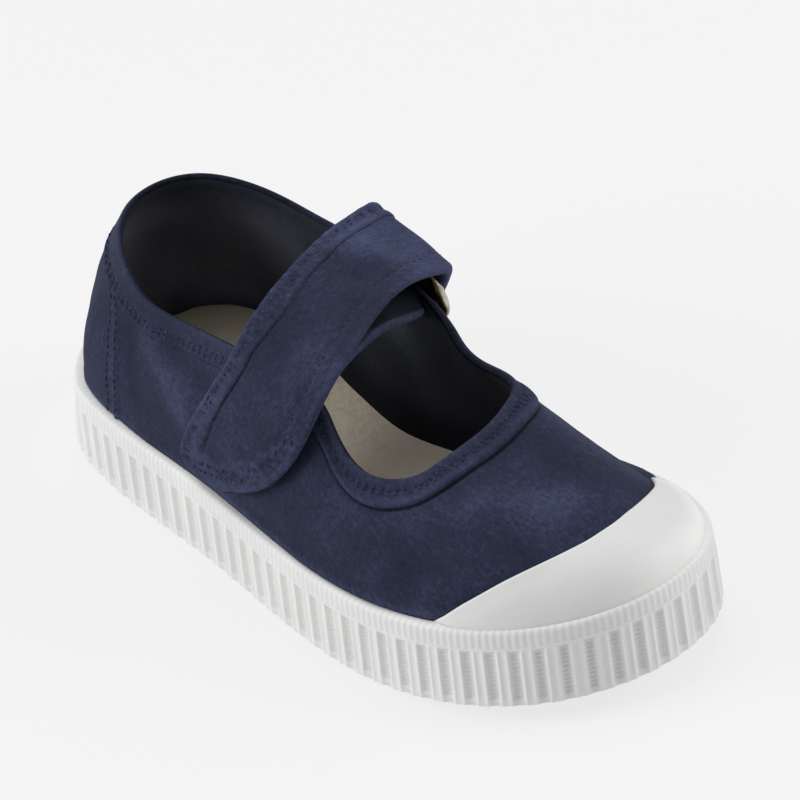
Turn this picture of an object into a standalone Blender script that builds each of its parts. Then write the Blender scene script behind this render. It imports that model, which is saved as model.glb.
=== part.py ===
# A child's canvas shoe with a low throat and one strap, in Blender.
# All sizes below are millimetres; +X points to the toe, -Y to the outer side, +Z up.
# Every piece is worked out in the last's own frame: x = 0 at the back of the heel.

import bpy
import bmesh
import math
import numpy as np

# Driving dimensions -----------------------------------------------------------

MM = 0.001                # one millimetre in metres
GAP = 0.3                 # clearance between pieces that touch

LENGTH = 172.0            # sole, heel to toe
TOE_SPRING = 6.6          # how far the toe tip lifts off the floor
SPRING_START = 0.64       # share of the length where the lift begins

FOXING_HEIGHT = 18.6      # white band around the sole
FOXING_EDGE = 1.5         # plain strip under the ribs
FOXING_BAND = 4.2         # finely ribbed strip above the ribs
BAND_STEP = 0.4           # the upper strip lies this much inside the crests
RIB_COUNT = 82            # coarse ribs once around the shoe
RIB_SHARE = 0.60          # crest width as a share of the pitch
RIB_DEPTH = 0.9           # depth of the grooves between them

OUTSOLE_THICK = 9.0
GROOVE_DEPTH = 1.2        # cross grooves in the tread
GROOVE_WIDTH = 2.2
GROOVE_PITCH = 9.0
GROOVE_MARGIN = 7.0       # tread rim left uncut

INSOLE_THICK = 4.0
UPPER_WALL = 1.8
CAP_WALL = 1.0            # rubber toe cap
CAP_TUCK = 5.0            # how far the cap runs down behind the foxing

STRAP_THICK = 2.0
RING_WIRE = 1.0           # half the thickness of the ring's wire

# Section tables ---------------------------------------------------------------

# The sole's edge seen from above, once around from the heel along the outer side.
OUTLINE = [
    # name              x      y
    ("heel back",       0.0,   0.6),
    ("heel outer",      8.0, -21.7),
    ("heel side outer", 30.0, -29.8),
    ("waist outer",     65.0, -32.1),
    ("ball outer",     110.0, -36.2),
    ("little toe",     141.3, -31.9),
    ("toe outer",      162.3, -18.6),
    ("toe tip",        172.0,   2.1),
    ("toe inner",      165.0,  24.8),
    ("big toe",        148.5,  33.4),
    ("ball inner",     124.0,  32.6),
    ("waist inner",     78.0,  20.4),
    ("heel side inner", 30.0,  27.6),
    ("heel inner",       7.3,  21.4),
]

# The foxing leans inwards as it rises, by this much over its height; wall is its
# thickness at a rib's crest.
FOXING = [
    # x      lean  wall
    (0.0,    2.6,  2.6),
    (9.0,    2.3,  2.6),
    (18.0,   0.7,  2.7),
    (45.0,   0.6,  1.9),
    (105.0,  0.6,  1.8),
    (138.0,  0.8,  2.2),
    (172.0,  0.7,  2.3),
]

# The upper, a section at a time around the shoe. Each runs from the foxing's top
# edge to the topline: share of the sole's edge, topline point, handle up from the
# foxing, handle back from the topline, and the wall's slope at the topline.
SECTIONS = [
    # name                 share   x      y      z    rise  reach slope
    ("heel back",          0.000,  17.2,   1.0, 55.8, 19.4, 10.8, 57.6),
    ("heel round outer",   0.055,  22.0, -11.0, 53.4, 18.0, 10.6, 65.5),
    ("heel side outer",    0.112,  37.0, -18.6, 48.5, 14.0, 10.0, 78.0),
    ("quarter outer",      0.172,  55.0, -19.9, 48.8, 12.0, 12.0, 76.0),
    ("strap root rear",    0.227,  77.0, -20.3, 51.2, 12.0, 13.0, 74.0),
    ("strap root middle",  0.256,  89.0, -20.3, 51.8, 12.0, 13.0, 74.0),
    ("strap root front",   0.281,  99.0, -20.0, 49.6, 11.0, 12.0, 72.0),
    ("throat side outer",  0.304, 105.0, -21.0, 43.5,  9.0, 10.0, 62.0),
    ("throat turn outer",  0.330, 113.0, -21.5, 40.0,  8.0, 10.0, 45.0),
    ("throat round outer", 0.360, 120.5, -18.3, 40.0,  8.0, 12.0, 32.0),
    ("throat front outer", 0.410, 125.0, -11.5, 42.5,  9.0, 20.0, 15.0),
    ("throat front",       0.490, 125.0,   0.0, 43.8, 10.5, 27.0, 12.0),
    ("throat front inner", 0.570, 121.5,   9.8, 43.8,  6.0, 15.0, 19.5),
    ("throat round inner", 0.617, 117.5,  14.8, 43.4,  2.8, 11.0, 50.0),
    ("throat turn inner",  0.655, 110.5,  17.3, 43.5,  3.2,  9.3, 51.0),
    ("throat side inner",  0.703, 101.0,  18.8, 42.8,  9.5, 10.0, 65.5),
    ("ring seat front",    0.743,  93.0,  19.2, 47.0, 12.0, 12.0, 76.0),
    ("ring seat rear",     0.803,  68.0,  20.6, 52.5, 12.0, 13.0, 78.0),
    ("quarter inner",      0.852,  50.0,  21.0, 52.5, 12.0, 12.0, 78.0),
    ("heel side inner",    0.900,  35.0,  20.0, 53.0, 14.0, 11.0, 76.0),
    ("heel round inner",   0.950,  22.5,  12.5, 55.8, 17.9, 11.0, 71.0),
]

# The toe cap's rear edge: its height on the upper's face at each share of the edge.
CAP_EDGE = [
    # share  height
    (0.368, 0.120),
    (0.376, 0.165),
    (0.384, 0.235),
    (0.391, 0.294),
    (0.397, 0.340),
    (0.410, 0.407),
    (0.422, 0.457),
    (0.435, 0.492),
    (0.449, 0.517),
    (0.465, 0.535),
    (0.490, 0.548),
    (0.515, 0.545),
    (0.535, 0.534),
    (0.552, 0.518),
    (0.566, 0.492),
    (0.580, 0.445),
    (0.592, 0.375),
    (0.602, 0.280),
    (0.612, 0.130),
]
CAP_SHARES = (0.368, 0.612)
CAP_RAMP = 0.02           # share over which the foxing makes room for the cap
CAP_FOOT = 0.10           # height at which the cap leaves its straight foot

# The ring on the inner side: its corners, and the radius they are turned to.
RING_CORNERS = [
    # name            x     y     z
    ("top rear",     62.8, 22.6, 57.5),
    ("top front",    87.2, 22.6, 54.0),
    ("bottom front", 87.4, 23.2, 43.4),
    ("bottom rear",  62.8, 24.2, 47.0),
]
RING_TURN = 3.0
RING_GRIP = 0.3           # clearance between the strap's fold and the wire

# The strap's lower layer rises from its root on the outer wall, then crosses to the
# ring. On the wall each row gives the two edges' x and z and the distance off it.
ROOT_ROWS = [
    # rear x   z   off    front x   z   off the wall
    (74.0,  42.0,  1.4,    97.0,  42.0,  1.4),
    (77.0,  48.0,  1.5,   100.0,  47.0,  1.5),
    (79.0,  52.5,  2.2,   101.5,  51.0,  2.2),
]
LOWER_SPAN = [
    # rear x   y      z     front x   y      z
    (79.0, -20.0, 55.9,    102.5, -19.2, 55.2),
    (76.5, -13.0, 56.8,    100.5, -12.5, 56.8),
    (73.5,  -6.0, 57.0,     99.0,  -5.0, 57.1),
    (70.5,   1.0, 57.0,     97.5,   1.5, 56.8),
    (67.5,   8.0, 56.9,     94.0,   8.0, 55.6),
    (65.6,  15.0, 55.9,     88.4,  14.5, 53.4),
]
# It turns round the ring's upper wire: the fold's edges below, beyond and above it.
FOLD_REAR_X = (64.6, 64.4, 64.6)
FOLD_FRONT_X = (83.6, 85.6, 90.0)
UPPER_SPAN = [
    # rear x   y      z     front x   y      z
    (65.2,  16.0, 60.0,     91.6,  18.0, 56.9),
    (67.3,   8.0, 60.0,     93.0,  12.0, 58.7),
    (70.0,   0.5, 59.8,     94.5,   7.0, 59.3),
    (73.0,  -7.0, 59.6,     97.0,  -1.0, 59.6),
    (76.0, -13.5, 59.2,    100.0,  -8.0, 59.5),
    (78.5, -19.5, 58.5,    103.4, -15.2, 58.9),
    (79.7, -23.4, 56.0,    105.0, -21.2, 56.6),
]
TIP_ROWS = [
    # rear x   z   off    front x   z   off the wall
    (77.7,  52.5,  4.0,   104.2,  53.0,  3.0),
    (74.1,  48.0,  4.0,   102.3,  49.0,  3.6),
    (70.2,  42.0,  3.8,   100.8,  45.0,  3.9),
    (66.2,  35.3,  3.2,    99.8,  42.0,  3.6),
    (63.4,  30.3,  2.6,    98.4,  39.0,  3.0),
    (62.3,  26.8,  2.1,    96.3,  35.4,  2.4),
    (63.4,  24.2,  1.8,    92.5,  30.9,  2.0),
    (66.5,  22.9,  1.7,    85.8,  26.6,  1.7),
    (71.0,  22.7,  1.6,    78.0,  23.8,  1.6),
]

# The canvas tab that holds the ring, sewn to the inner wall's outer face.
TAB_X = (66.0, 85.5)
TAB_THICK = 1.2
TAB_DROP = 7.0            # how far it runs down below the wire


# Curves -----------------------------------------------------------------------

def closed_spline(keys, values, at):
    """Smooth closed curve through values at keys (0 to 1), read at the places at."""
    keys = np.asarray(keys, float)
    values = np.asarray(values, float)
    count = len(keys)
    step = np.diff(np.append(keys, keys[0] + 1.0))
    following = np.roll(values, -1, axis=0)
    slope = (following - values) / step.reshape(-1, *([1] * (values.ndim - 1)))
    matrix = np.zeros((count, count))
    for i in range(count):
        matrix[i, i - 1] += step[i - 1]
        matrix[i, i] += 2.0 * (step[i - 1] + step[i])
        matrix[i, (i + 1) % count] += step[i]
    bend = np.linalg.solve(matrix, 6.0 * (slope - np.roll(slope, 1, axis=0)))
    at = np.asarray(at, float) % 1.0
    i = (np.searchsorted(keys, at, side="right") - 1) % count
    j = (i + 1) % count
    shape = (-1,) + (1,) * (values.ndim - 1)
    width = step[i].reshape(shape)
    past = ((at - keys[i]) % 1.0).reshape(shape)
    left = width - past
    return (bend[i] * left ** 3 / (6 * width) + bend[j] * past ** 3 / (6 * width)
            + (values[i] / width - bend[i] * width / 6) * left
            + (values[j] / width - bend[j] * width / 6) * past)


def trace_outline(count=4000):
    """Dense points along the sole's edge, with their share of its whole length."""
    points = np.array([row[1:] for row in OUTLINE])
    chord = np.linalg.norm(np.roll(points, -1, axis=0) - points, axis=1)
    keys = np.append(0.0, np.cumsum(chord)[:-1]) / chord.sum()
    dense = closed_spline(keys, points, np.linspace(0.0, 1.0, count, endpoint=False))
    run = np.linalg.norm(np.roll(dense, -1, axis=0) - dense, axis=1)
    shares = np.append(0.0, np.cumsum(run)[:-1]) / run.sum()
    return dense, shares


EDGE_POINTS, EDGE_SHARES = trace_outline()
MIDDLE_X = (EDGE_POINTS[:, 0].min() + EDGE_POINTS[:, 0].max()) / 2
MIDDLE_Y = (EDGE_POINTS[:, 1].min() + EDGE_POINTS[:, 1].max()) / 2


def edge_at(shares):
    """Points on the sole's edge at these shares."""
    shares = np.asarray(shares, float) % 1.0
    keys = np.append(EDGE_SHARES, 1.0)
    points = np.vstack([EDGE_POINTS, EDGE_POINTS[:1]])
    return np.stack([np.interp(shares, keys, points[:, k]) for k in (0, 1)], axis=-1)


def edge_inset(shares, inset):
    """The same points moved inwards, square to the edge."""
    small = 0.002
    along = edge_at(shares + small) - edge_at(shares - small)
    along /= np.linalg.norm(along, axis=-1, keepdims=True)
    inward = np.stack([-along[..., 1], along[..., 0]], axis=-1)
    return edge_at(shares) + inward * np.asarray(inset)[..., None]


def toe_lift(x):
    """How far the sole has risen off the floor at x."""
    start = SPRING_START * LENGTH
    past = np.clip((np.asarray(x) - start) / (LENGTH - start), 0.0, None)
    return TOE_SPRING * past ** 2


def lean_at(shares):
    """How far the foxing leans inwards over its height."""
    x, lean, wall = np.array(FOXING).T
    return np.interp(edge_at(shares)[..., 0], x, lean)


def wall_at(shares):
    """How thick the foxing is here."""
    x, lean, wall = np.array(FOXING).T
    return np.interp(edge_at(shares)[..., 0], x, wall)


def cap_room(shares):
    """Room left between upper and foxing for the toe cap, which ends in a ramp."""
    first, last = CAP_SHARES
    ramp = np.interp(shares, [first - CAP_RAMP, first, last, last + CAP_RAMP], [0, 1, 1, 0])
    return (CAP_WALL + GAP) * ramp


def side_point(shares, inset, z):
    """A point of the sole's side wall at height z, with the foxing's lean and the toe's lift."""
    shares = np.asarray(shares, float)
    z = np.broadcast_to(z, shares.shape)
    flat = edge_inset(shares, inset + lean_at(shares) * z / FOXING_HEIGHT)
    return np.concatenate([flat, (z + toe_lift(flat[..., 0]))[..., None]], axis=-1)


# The upper's own surface ------------------------------------------------------

SOLE_TOP = OUTSOLE_THICK + GAP          # where the upper starts
HIDDEN = 0.2                            # part of the height parameter behind the foxing
BULGE = 0.12                            # how much it swells out over the foxing's edge


def upper_surface(shares, heights):
    """Outer face of the upper; heights run from 0 at the sole to 1 at the topline."""
    table = np.array([row[1:] for row in SECTIONS])
    rows = closed_spline(table[:, 0], table[:, 1:], shares)
    rim = rows[:, 0:3]
    rise, reach, slope = rows[:, 3:4], rows[:, 4:5], np.radians(rows[:, 5:6])
    inset = wall_at(shares) + GAP + cap_room(shares)
    foot = side_point(shares, inset, SOLE_TOP)
    start = side_point(shares, inset, FOXING_HEIGHT)
    outward = side_point(shares, inset - BULGE, FOXING_HEIGHT) - start
    up = (start - foot) / np.linalg.norm(start - foot, axis=-1, keepdims=True) + outward
    inward = rim[:, :2] - start[:, :2]
    inward = inward / np.linalg.norm(inward, axis=-1, keepdims=True)
    arrive = np.hstack([inward * np.cos(slope), np.sin(slope)])
    knots = [start, start + up * rise, rim - arrive * reach, rim]
    layers = []
    for height in heights:
        if height < HIDDEN:
            layers.append(foot + (start - foot) * height / HIDDEN)
            continue
        t = (height - HIDDEN) / (1.0 - HIDDEN)
        weights = [(1 - t) ** 3, 3 * t * (1 - t) ** 2, 3 * t * t * (1 - t), t ** 3]
        layers.append(sum(w * knot for w, knot in zip(weights, knots)))
    return np.array(layers)


def upper_offset(shares, heights, distance):
    """The upper's face moved outwards (or inwards, if negative) along its normals."""
    small = 0.002
    shares = np.asarray(shares, float)
    heights = np.asarray(heights, float)
    along = upper_surface(shares + small, heights) - upper_surface(shares - small, heights)
    low = np.clip(heights - small, 0.0, 1.0)
    high = np.clip(heights + small, 0.0, 1.0)
    rising = upper_surface(shares, high) - upper_surface(shares, low)
    normal = np.cross(along, rising)
    normal /= np.linalg.norm(normal, axis=-1, keepdims=True)
    return upper_surface(shares, heights) + normal * distance


# Mesh helpers -----------------------------------------------------------------

def make_object(name, mesh_maker, material):
    """Turn a finished bmesh in millimetres into a named object in metres."""
    mesh = bpy.data.meshes.new(name)
    bmesh.ops.translate(mesh_maker, verts=mesh_maker.verts, vec=(-MIDDLE_X, -MIDDLE_Y, 0.0))
    bmesh.ops.scale(mesh_maker, verts=mesh_maker.verts, vec=(MM, MM, MM))
    bmesh.ops.recalc_face_normals(mesh_maker, faces=mesh_maker.faces)
    mesh_maker.to_mesh(mesh)
    mesh_maker.free()
    mesh.shade_smooth()
    mesh.set_sharp_from_angle(angle=math.radians(35))
    mesh.materials.append(material)
    piece = bpy.data.objects.new(name, mesh)
    bpy.context.collection.objects.link(piece)
    return piece


def make_material(name, colour, roughness, metallic=0.0):
    """A plain Principled material."""
    material = bpy.data.materials.new(name)
    material.use_nodes = True
    shader = material.node_tree.nodes["Principled BSDF"]
    shader.inputs["Base Color"].default_value = (*colour, 1.0)
    shader.inputs["Roughness"].default_value = roughness
    shader.inputs["Metallic"].default_value = metallic
    return material


def add_grid(mesh_maker, rows, wrap_rows, wrap_columns):
    """Join rows of points into quads, closing either way round if asked."""
    verts = [[mesh_maker.verts.new(point) for point in row] for row in rows]
    last_row = len(rows) if wrap_rows else len(rows) - 1
    count = len(rows[0])
    last_column = count if wrap_columns else count - 1
    for i in range(last_row):
        for j in range(last_column):
            k = (j + 1) % count
            following = verts[(i + 1) % len(rows)]
            mesh_maker.faces.new((verts[i][j], verts[i][k], following[k], following[j]))
    return verts


def ring_of_rows(name, rows, material):
    """A closed band around the shoe: its rows go once round the band's section."""
    mesh_maker = bmesh.new()
    add_grid(mesh_maker, rows, wrap_rows=True, wrap_columns=True)
    return make_object(name, mesh_maker, material)


def sheet_between(name, outer, inner, material):
    """A closed sheet from two facing grids of points."""
    mesh_maker = bmesh.new()
    faces = [add_grid(mesh_maker, grid, False, False) for grid in (outer, inner)]
    rims = []
    for verts in faces:
        top = verts[-1]
        right = [row[-1] for row in verts[-2:0:-1]]
        bottom = verts[0][::-1]
        left = [row[0] for row in verts[1:-1]]
        rims.append(top + right + bottom + left)
    count = len(rims[0])
    for i in range(count):
        j = (i + 1) % count
        mesh_maker.faces.new((rims[0][i], rims[0][j], rims[1][j], rims[1][i]))
    return make_object(name, mesh_maker, material)


def slab(outline, bottom, top):
    """A flat slab of this outline, cut across so that it can bend with the toe's lift."""
    mesh_maker = bmesh.new()
    base = mesh_maker.faces.new([mesh_maker.verts.new((x, y, bottom)) for x, y in outline])
    extruded = bmesh.ops.extrude_face_region(mesh_maker, geom=[base])["geom"]
    raised = [item for item in extruded if isinstance(item, bmesh.types.BMVert)]
    bmesh.ops.translate(mesh_maker, verts=raised, vec=(0.0, 0.0, top - bottom))
    start = SPRING_START * LENGTH
    for x in np.linspace(start, LENGTH - 8.0, 8):
        geometry = mesh_maker.verts[:] + mesh_maker.edges[:] + mesh_maker.faces[:]
        bmesh.ops.bisect_plane(mesh_maker, geom=geometry, plane_co=(x, 0, 0), plane_no=(1, 0, 0))
    for vert in mesh_maker.verts:
        vert.co.z += float(toe_lift(vert.co.x))
    return mesh_maker


def wall_y(x, z, outer_side):
    """The upper's outer face at this x and z, on its outer or inner side."""
    first, last = (0.10, 0.36) if outer_side else (0.64, 0.93)
    shares = np.linspace(first, last, 80)
    grid = upper_surface(shares, np.linspace(HIDDEN, 1.0, 40))
    rows = [[np.interp(z, column[:, 2], column[:, k]) for k in (0, 1)]
            for column in grid.transpose(1, 0, 2)]
    rows = np.array(sorted(rows, key=lambda row: row[0]))
    return float(np.interp(x, rows[:, 0], rows[:, 1]))


def ring_path(turn_steps=4):
    """Closed path of the ring's wire, with its corners turned."""
    corners = [np.array(row[1:]) for row in RING_CORNERS]
    path = []
    for i, corner in enumerate(corners):
        to_last = corners[i - 1] - corner
        to_next = corners[(i + 1) % len(corners)] - corner
        start = corner + to_last / np.linalg.norm(to_last) * RING_TURN
        end = corner + to_next / np.linalg.norm(to_next) * RING_TURN
        for t in np.linspace(0.0, 1.0, turn_steps + 1):
            path.append((1 - t) ** 2 * start + 2 * t * (1 - t) * corner + t * t * end)
    return np.array(path)


def strap_rows(columns=5):
    """Middle of the strap, row by row from its root to its tip."""
    across = np.linspace(0.0, 1.0, columns)
    rows = []

    def on_wall(table):
        for row in table:
            rear, front = np.array(row[:3]), np.array(row[3:])
            places = [rear + (front - rear) * t for t in across]
            rows.append([(x, wall_y(x, z, True) - off, z) for x, z, off in places])

    def in_span(table):
        for row in table:
            rear, front = np.array(row[:3]), np.array(row[3:])
            rows.append([rear + (front - rear) * t for t in across])

    on_wall(ROOT_ROWS)
    in_span(LOWER_SPAN)
    rear_wire, front_wire = [np.array(row[1:]) for row in RING_CORNERS[:2]]
    radius = RING_WIRE + RING_GRIP + STRAP_THICK / 2
    for angle in np.radians(np.linspace(-90.0, 90.0, 7)):
        turn = math.sin(angle)
        edges = [np.interp(turn, (-1, 0, 1), x) for x in (FOLD_REAR_X, FOLD_FRONT_X)]
        row = []
        for x in edges[0] + (edges[1] - edges[0]) * across:
            on_wire = rear_wire + (front_wire - rear_wire) * (x - rear_wire[0]) / (
                front_wire[0] - rear_wire[0])
            row.append(on_wire + np.array([0.0, math.cos(angle), turn]) * radius)
        rows.append(row)
    in_span(UPPER_SPAN)
    on_wall(TIP_ROWS)
    rows = np.array(rows)
    eased = rows.copy()
    eased[1:-1] = (rows[:-2] + 2 * rows[1:-1] + rows[2:]) / 4
    fold = slice(len(ROOT_ROWS) + len(LOWER_SPAN), -len(UPPER_SPAN) - len(TIP_ROWS))
    eased[fold] = rows[fold]
    return eased


# Pieces -----------------------------------------------------------------------

def build_outsole(material):
    """Rubber slab inside the foxing, with cross grooves in its tread."""
    shares = np.linspace(0.0, 1.0, 72, endpoint=False)
    lean = lean_at(shares) * OUTSOLE_THICK / FOXING_HEIGHT
    edge = edge_inset(shares, lean + wall_at(shares) + GAP)
    outsole = make_object("outsole", slab(edge, 0.0, OUTSOLE_THICK), material)
    cutters = bmesh.new()
    x = GROOVE_PITCH
    while x < LENGTH - GROOVE_PITCH:
        across = edge[np.abs(edge[:, 0] - x) < GROOVE_PITCH / 2, 1]
        low, high = across.min() + GROOVE_MARGIN, across.max() - GROOVE_MARGIN
        box = bmesh.ops.create_cube(cutters, size=1.0)["verts"]
        bmesh.ops.scale(cutters, verts=box, vec=(GROOVE_WIDTH, high - low, 2 * GROOVE_DEPTH))
        middle = (x, (low + high) / 2, float(toe_lift(x)))
        bmesh.ops.translate(cutters, verts=box, vec=middle)
        x += GROOVE_PITCH
    cutter = make_object("groove_cutter", cutters, material)
    cutter.hide_render = True
    cutter.display_type = "WIRE"
    cut = outsole.modifiers.new("grooves", "BOOLEAN")
    cut.object = cutter
    cut.operation = "DIFFERENCE"
    cut.solver = "EXACT"
    return outsole


def build_foxing(material):
    """White band around the sole: a plain edge, coarse upright ribs, a stepped top strip."""
    crest = RIB_SHARE
    slope = 0.06
    marks = [0.0, crest, crest + slope, 1.0 - slope]
    in_groove = np.tile([0.0, 0.0, 1.0, 1.0], RIB_COUNT)
    shares = np.concatenate([(i + np.array(marks)) / RIB_COUNT for i in range(RIB_COUNT)])
    wall = wall_at(shares)
    band = FOXING_HEIGHT - FOXING_BAND
    profile = [
        # height            inset of crest   groove depth
        (0.0,               wall,            0.0),
        (0.0,               0.3,             0.0),
        (FOXING_EDGE,       0.0,             0.0),
        (FOXING_EDGE + 0.5, 0.0,             RIB_DEPTH),
        (band - 0.5,        0.0,             RIB_DEPTH),
        (band,              BAND_STEP,       0.0),
        (FOXING_HEIGHT - 1, BAND_STEP,       0.0),
        (FOXING_HEIGHT,     wall,            0.0),
    ]
    rows = [side_point(shares, inset + depth * in_groove, z) for z, inset, depth in profile]
    return ring_of_rows("foxing", rows, material)


def build_upper(material):
    """Canvas upper: one hollow wall, open at the topline and underneath."""
    shares = np.linspace(0.0, 1.0, RIB_COUNT, endpoint=False)
    heights = np.append([0.0], np.linspace(HIDDEN, 1.0, 8))
    outer = upper_offset(shares, heights, 0.0)
    inner = upper_offset(shares, heights, -UPPER_WALL)
    inner[0, :, 2] = outer[0, :, 2]
    return ring_of_rows("upper", list(outer) + list(inner[::-1]), material)


def build_toe_cap(material):
    """Smooth rubber cap over the toe, between two skins of the upper's own surface."""
    first, last = CAP_SHARES
    edge_share, edge_height = np.array(CAP_EDGE).T
    close_at_ends = (1 - np.cos(np.linspace(0.0, math.pi, 31))) / 2
    shares = first + (last - first) * close_at_ends
    low = HIDDEN * (FOXING_HEIGHT - CAP_TUCK - SOLE_TOP) / (FOXING_HEIGHT - SOLE_TOP)
    skins = []
    for distance in (GAP + CAP_WALL, GAP):
        columns = []
        for share in shares:
            top = np.interp(share, edge_share, edge_height)
            heights = np.append([low], np.linspace(CAP_FOOT, top, 8))
            columns.append(upper_offset(np.array([share]), heights, distance)[:, 0])
        skins.append(np.array(columns))
    return sheet_between("toe_cap", skins[0], skins[1], material)


def build_insole(material):
    """Insole lying on the outsole, inside the upper's wall."""
    shares = np.linspace(0.0, 1.0, 82, endpoint=False)
    wall = wall_at(shares) + cap_room(shares) + UPPER_WALL + 3 * GAP
    top = SOLE_TOP + INSOLE_THICK
    edge = edge_inset(shares, lean_at(shares) * top / FOXING_HEIGHT + wall)
    return make_object("insole", slab(edge, SOLE_TOP, top), material)


def build_strap(material):
    """Canvas strap: root on the outer wall, across, round the ring and back to its tip."""
    rows = strap_rows()
    along = np.gradient(rows, axis=0)
    width = np.gradient(rows, axis=1)
    normal = np.cross(width, along)
    normal /= np.linalg.norm(normal, axis=-1, keepdims=True)
    half = normal * STRAP_THICK / 2
    return sheet_between("strap", rows + half, rows - half, material)


def build_ring(material):
    """Flat oval wire bent to a closed ring."""
    path = ring_path()
    flat = np.cross(path[6] - path[0], path[12] - path[0])
    flat /= np.linalg.norm(flat)
    along = np.roll(path, -1, axis=0) - np.roll(path, 1, axis=0)
    along /= np.linalg.norm(along, axis=1, keepdims=True)
    side = np.cross(along, flat)
    angles = np.linspace(0.0, 2 * math.pi, 8, endpoint=False)
    rows = [path + RING_WIRE * (math.cos(a) * flat + math.sin(a) * side) for a in angles]
    return ring_of_rows("ring", rows, material)


def build_ring_tab(material):
    """Folded canvas tab: up the wall, over the ring's lower wire and down again."""
    first, last = [np.array(row[1:]) for row in (RING_CORNERS[3], RING_CORNERS[2])]
    inner_face, outer_face = [], []
    bend = RING_WIRE + GAP
    for x in np.linspace(*TAB_X, 6):
        wire = first + (last - first) * (x - first[0]) / (last[0] - first[0])
        wall = [wall_y(x, wire[2] - drop, False) + GAP for drop in (TAB_DROP, TAB_DROP / 2)]
        section = [(x, wall[0], wire[2] - TAB_DROP), (x, wall[1], wire[2] - TAB_DROP / 2)]
        section.append((x, wire[1] - bend - TAB_THICK, wire[2]))
        outside = list(section)
        inside = [(px, py + TAB_THICK, pz) for px, py, pz in section]
        for angle in np.radians((135.0, 90.0, 45.0, 0.0, -45.0)):
            turn = np.array([0.0, math.cos(angle), math.sin(angle)])
            outside.append(wire + turn * (bend + TAB_THICK))
            inside.append(wire + turn * bend)
        outer_face.append(outside)
        inner_face.append(inside)
    return sheet_between("ring_tab", np.array(outer_face), np.array(inner_face), material)


def main():
    for old in list(bpy.data.objects):
        bpy.data.objects.remove(old, do_unlink=True)
    rubber = make_material("white_rubber", (0.80, 0.80, 0.79), 0.55)
    canvas = make_material("navy_canvas", (0.035, 0.042, 0.085), 0.9)
    lining = make_material("insole_fabric", (0.42, 0.36, 0.28), 0.9)
    build_outsole(rubber)
    build_foxing(rubber)
    build_upper(canvas)
    build_toe_cap(rubber)
    build_insole(lining)
    metal = make_material("antique_silver", (0.45, 0.42, 0.36), 0.35, 1.0)
    build_strap(canvas)
    build_ring(metal)
    build_ring_tab(canvas)


main()
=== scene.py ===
# %% [markdown]
# # A child's canvas strap shoe, made ready to look at
#
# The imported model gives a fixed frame: sole, foxing, upper, toe cap, insole, strap, ring
# and tab, in metres. Each lesson below takes one of those pieces and makes the version
# that is seen: the same shape, with its folds, seams, ribs and stitches. All working
# sizes are millimetres in the shoemaker's last: x runs from the back of the heel (0) to
# the toe, -y is the outer side of this right shoe, z is up from the floor.

# %% Load the frame
import math

import bmesh
import bpy
import numpy as np
from mathutils import Matrix, Vector


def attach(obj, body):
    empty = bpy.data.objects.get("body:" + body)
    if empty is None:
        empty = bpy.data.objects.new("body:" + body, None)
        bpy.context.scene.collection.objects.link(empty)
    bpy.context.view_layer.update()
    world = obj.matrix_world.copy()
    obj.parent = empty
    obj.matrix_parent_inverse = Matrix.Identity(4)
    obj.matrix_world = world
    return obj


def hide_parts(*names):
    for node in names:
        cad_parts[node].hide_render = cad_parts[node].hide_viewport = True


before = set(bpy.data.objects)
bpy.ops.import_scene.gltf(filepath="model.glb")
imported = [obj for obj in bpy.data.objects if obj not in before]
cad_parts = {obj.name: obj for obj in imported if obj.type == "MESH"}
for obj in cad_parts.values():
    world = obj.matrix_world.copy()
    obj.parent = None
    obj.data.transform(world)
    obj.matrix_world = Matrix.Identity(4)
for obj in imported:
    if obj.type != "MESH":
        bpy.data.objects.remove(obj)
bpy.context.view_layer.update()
print("nodes:", sorted(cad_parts))

# %% [markdown]
# ## Sizes of the shoe
#
# A last is described by few numbers: the outline of the sole, the wall of the foxing
# and a row of sections around the upper. The solid pieces were cut to the same tables.
# Only the inner topline, the cap's far end, the strap and the ring are eased here, by
# up to a few millimetres, to lie as sewn cloth lies.

# %% Driving sizes
MM = 0.001                  # one millimetre in metres
GAP = 0.3                   # clearance between pieces that touch
LENGTH = 172.0              # sole, heel to toe
TOE_SPRING = 6.6            # how far the toe tip lifts off the floor
SPRING_START = 0.64         # share of the length where the lift begins
FOXING_HEIGHT = 18.6
FOXING_EDGE = 1.5           # plain strip under the ribs
FOXING_BAND = 4.2           # finely ribbed strip above the ribs
RIB_COUNT = 82
SOLE_TOP = 9.0 + GAP        # the outsole is 9 mm thick
INSOLE_THICK = 4.0
UPPER_WALL = 1.8
CAP_WALL = 1.0
STRAP_THICK = 2.0
RING_WIRE = 1.0             # half the thickness of the ring's wire
HIDDEN = 0.2                # share of the upper's height that lies behind the foxing
BULGE = 0.12                # how far the upper leans out over the foxing's edge

# %% The sole's edge and the foxing's wall
OUTLINE = [
    # x      y        once round from the back of the heel, outer side first
    (0.0, 0.6), (8.0, -21.7), (30.0, -29.8), (65.0, -32.1), (110.0, -36.2),
    (141.3, -31.9), (162.3, -18.6), (172.0, 2.1), (165.0, 24.8), (148.5, 33.4),
    (124.0, 32.6), (78.0, 20.4), (30.0, 27.6), (7.3, 21.4),
]
FOXING = [
    # x    lean  wall
    (0.0, 2.6, 2.6), (9.0, 2.3, 2.6), (18.0, 0.7, 2.7), (45.0, 0.6, 1.9),
    (105.0, 0.6, 1.8), (138.0, 0.8, 2.2), (172.0, 0.7, 2.3),
]

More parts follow.
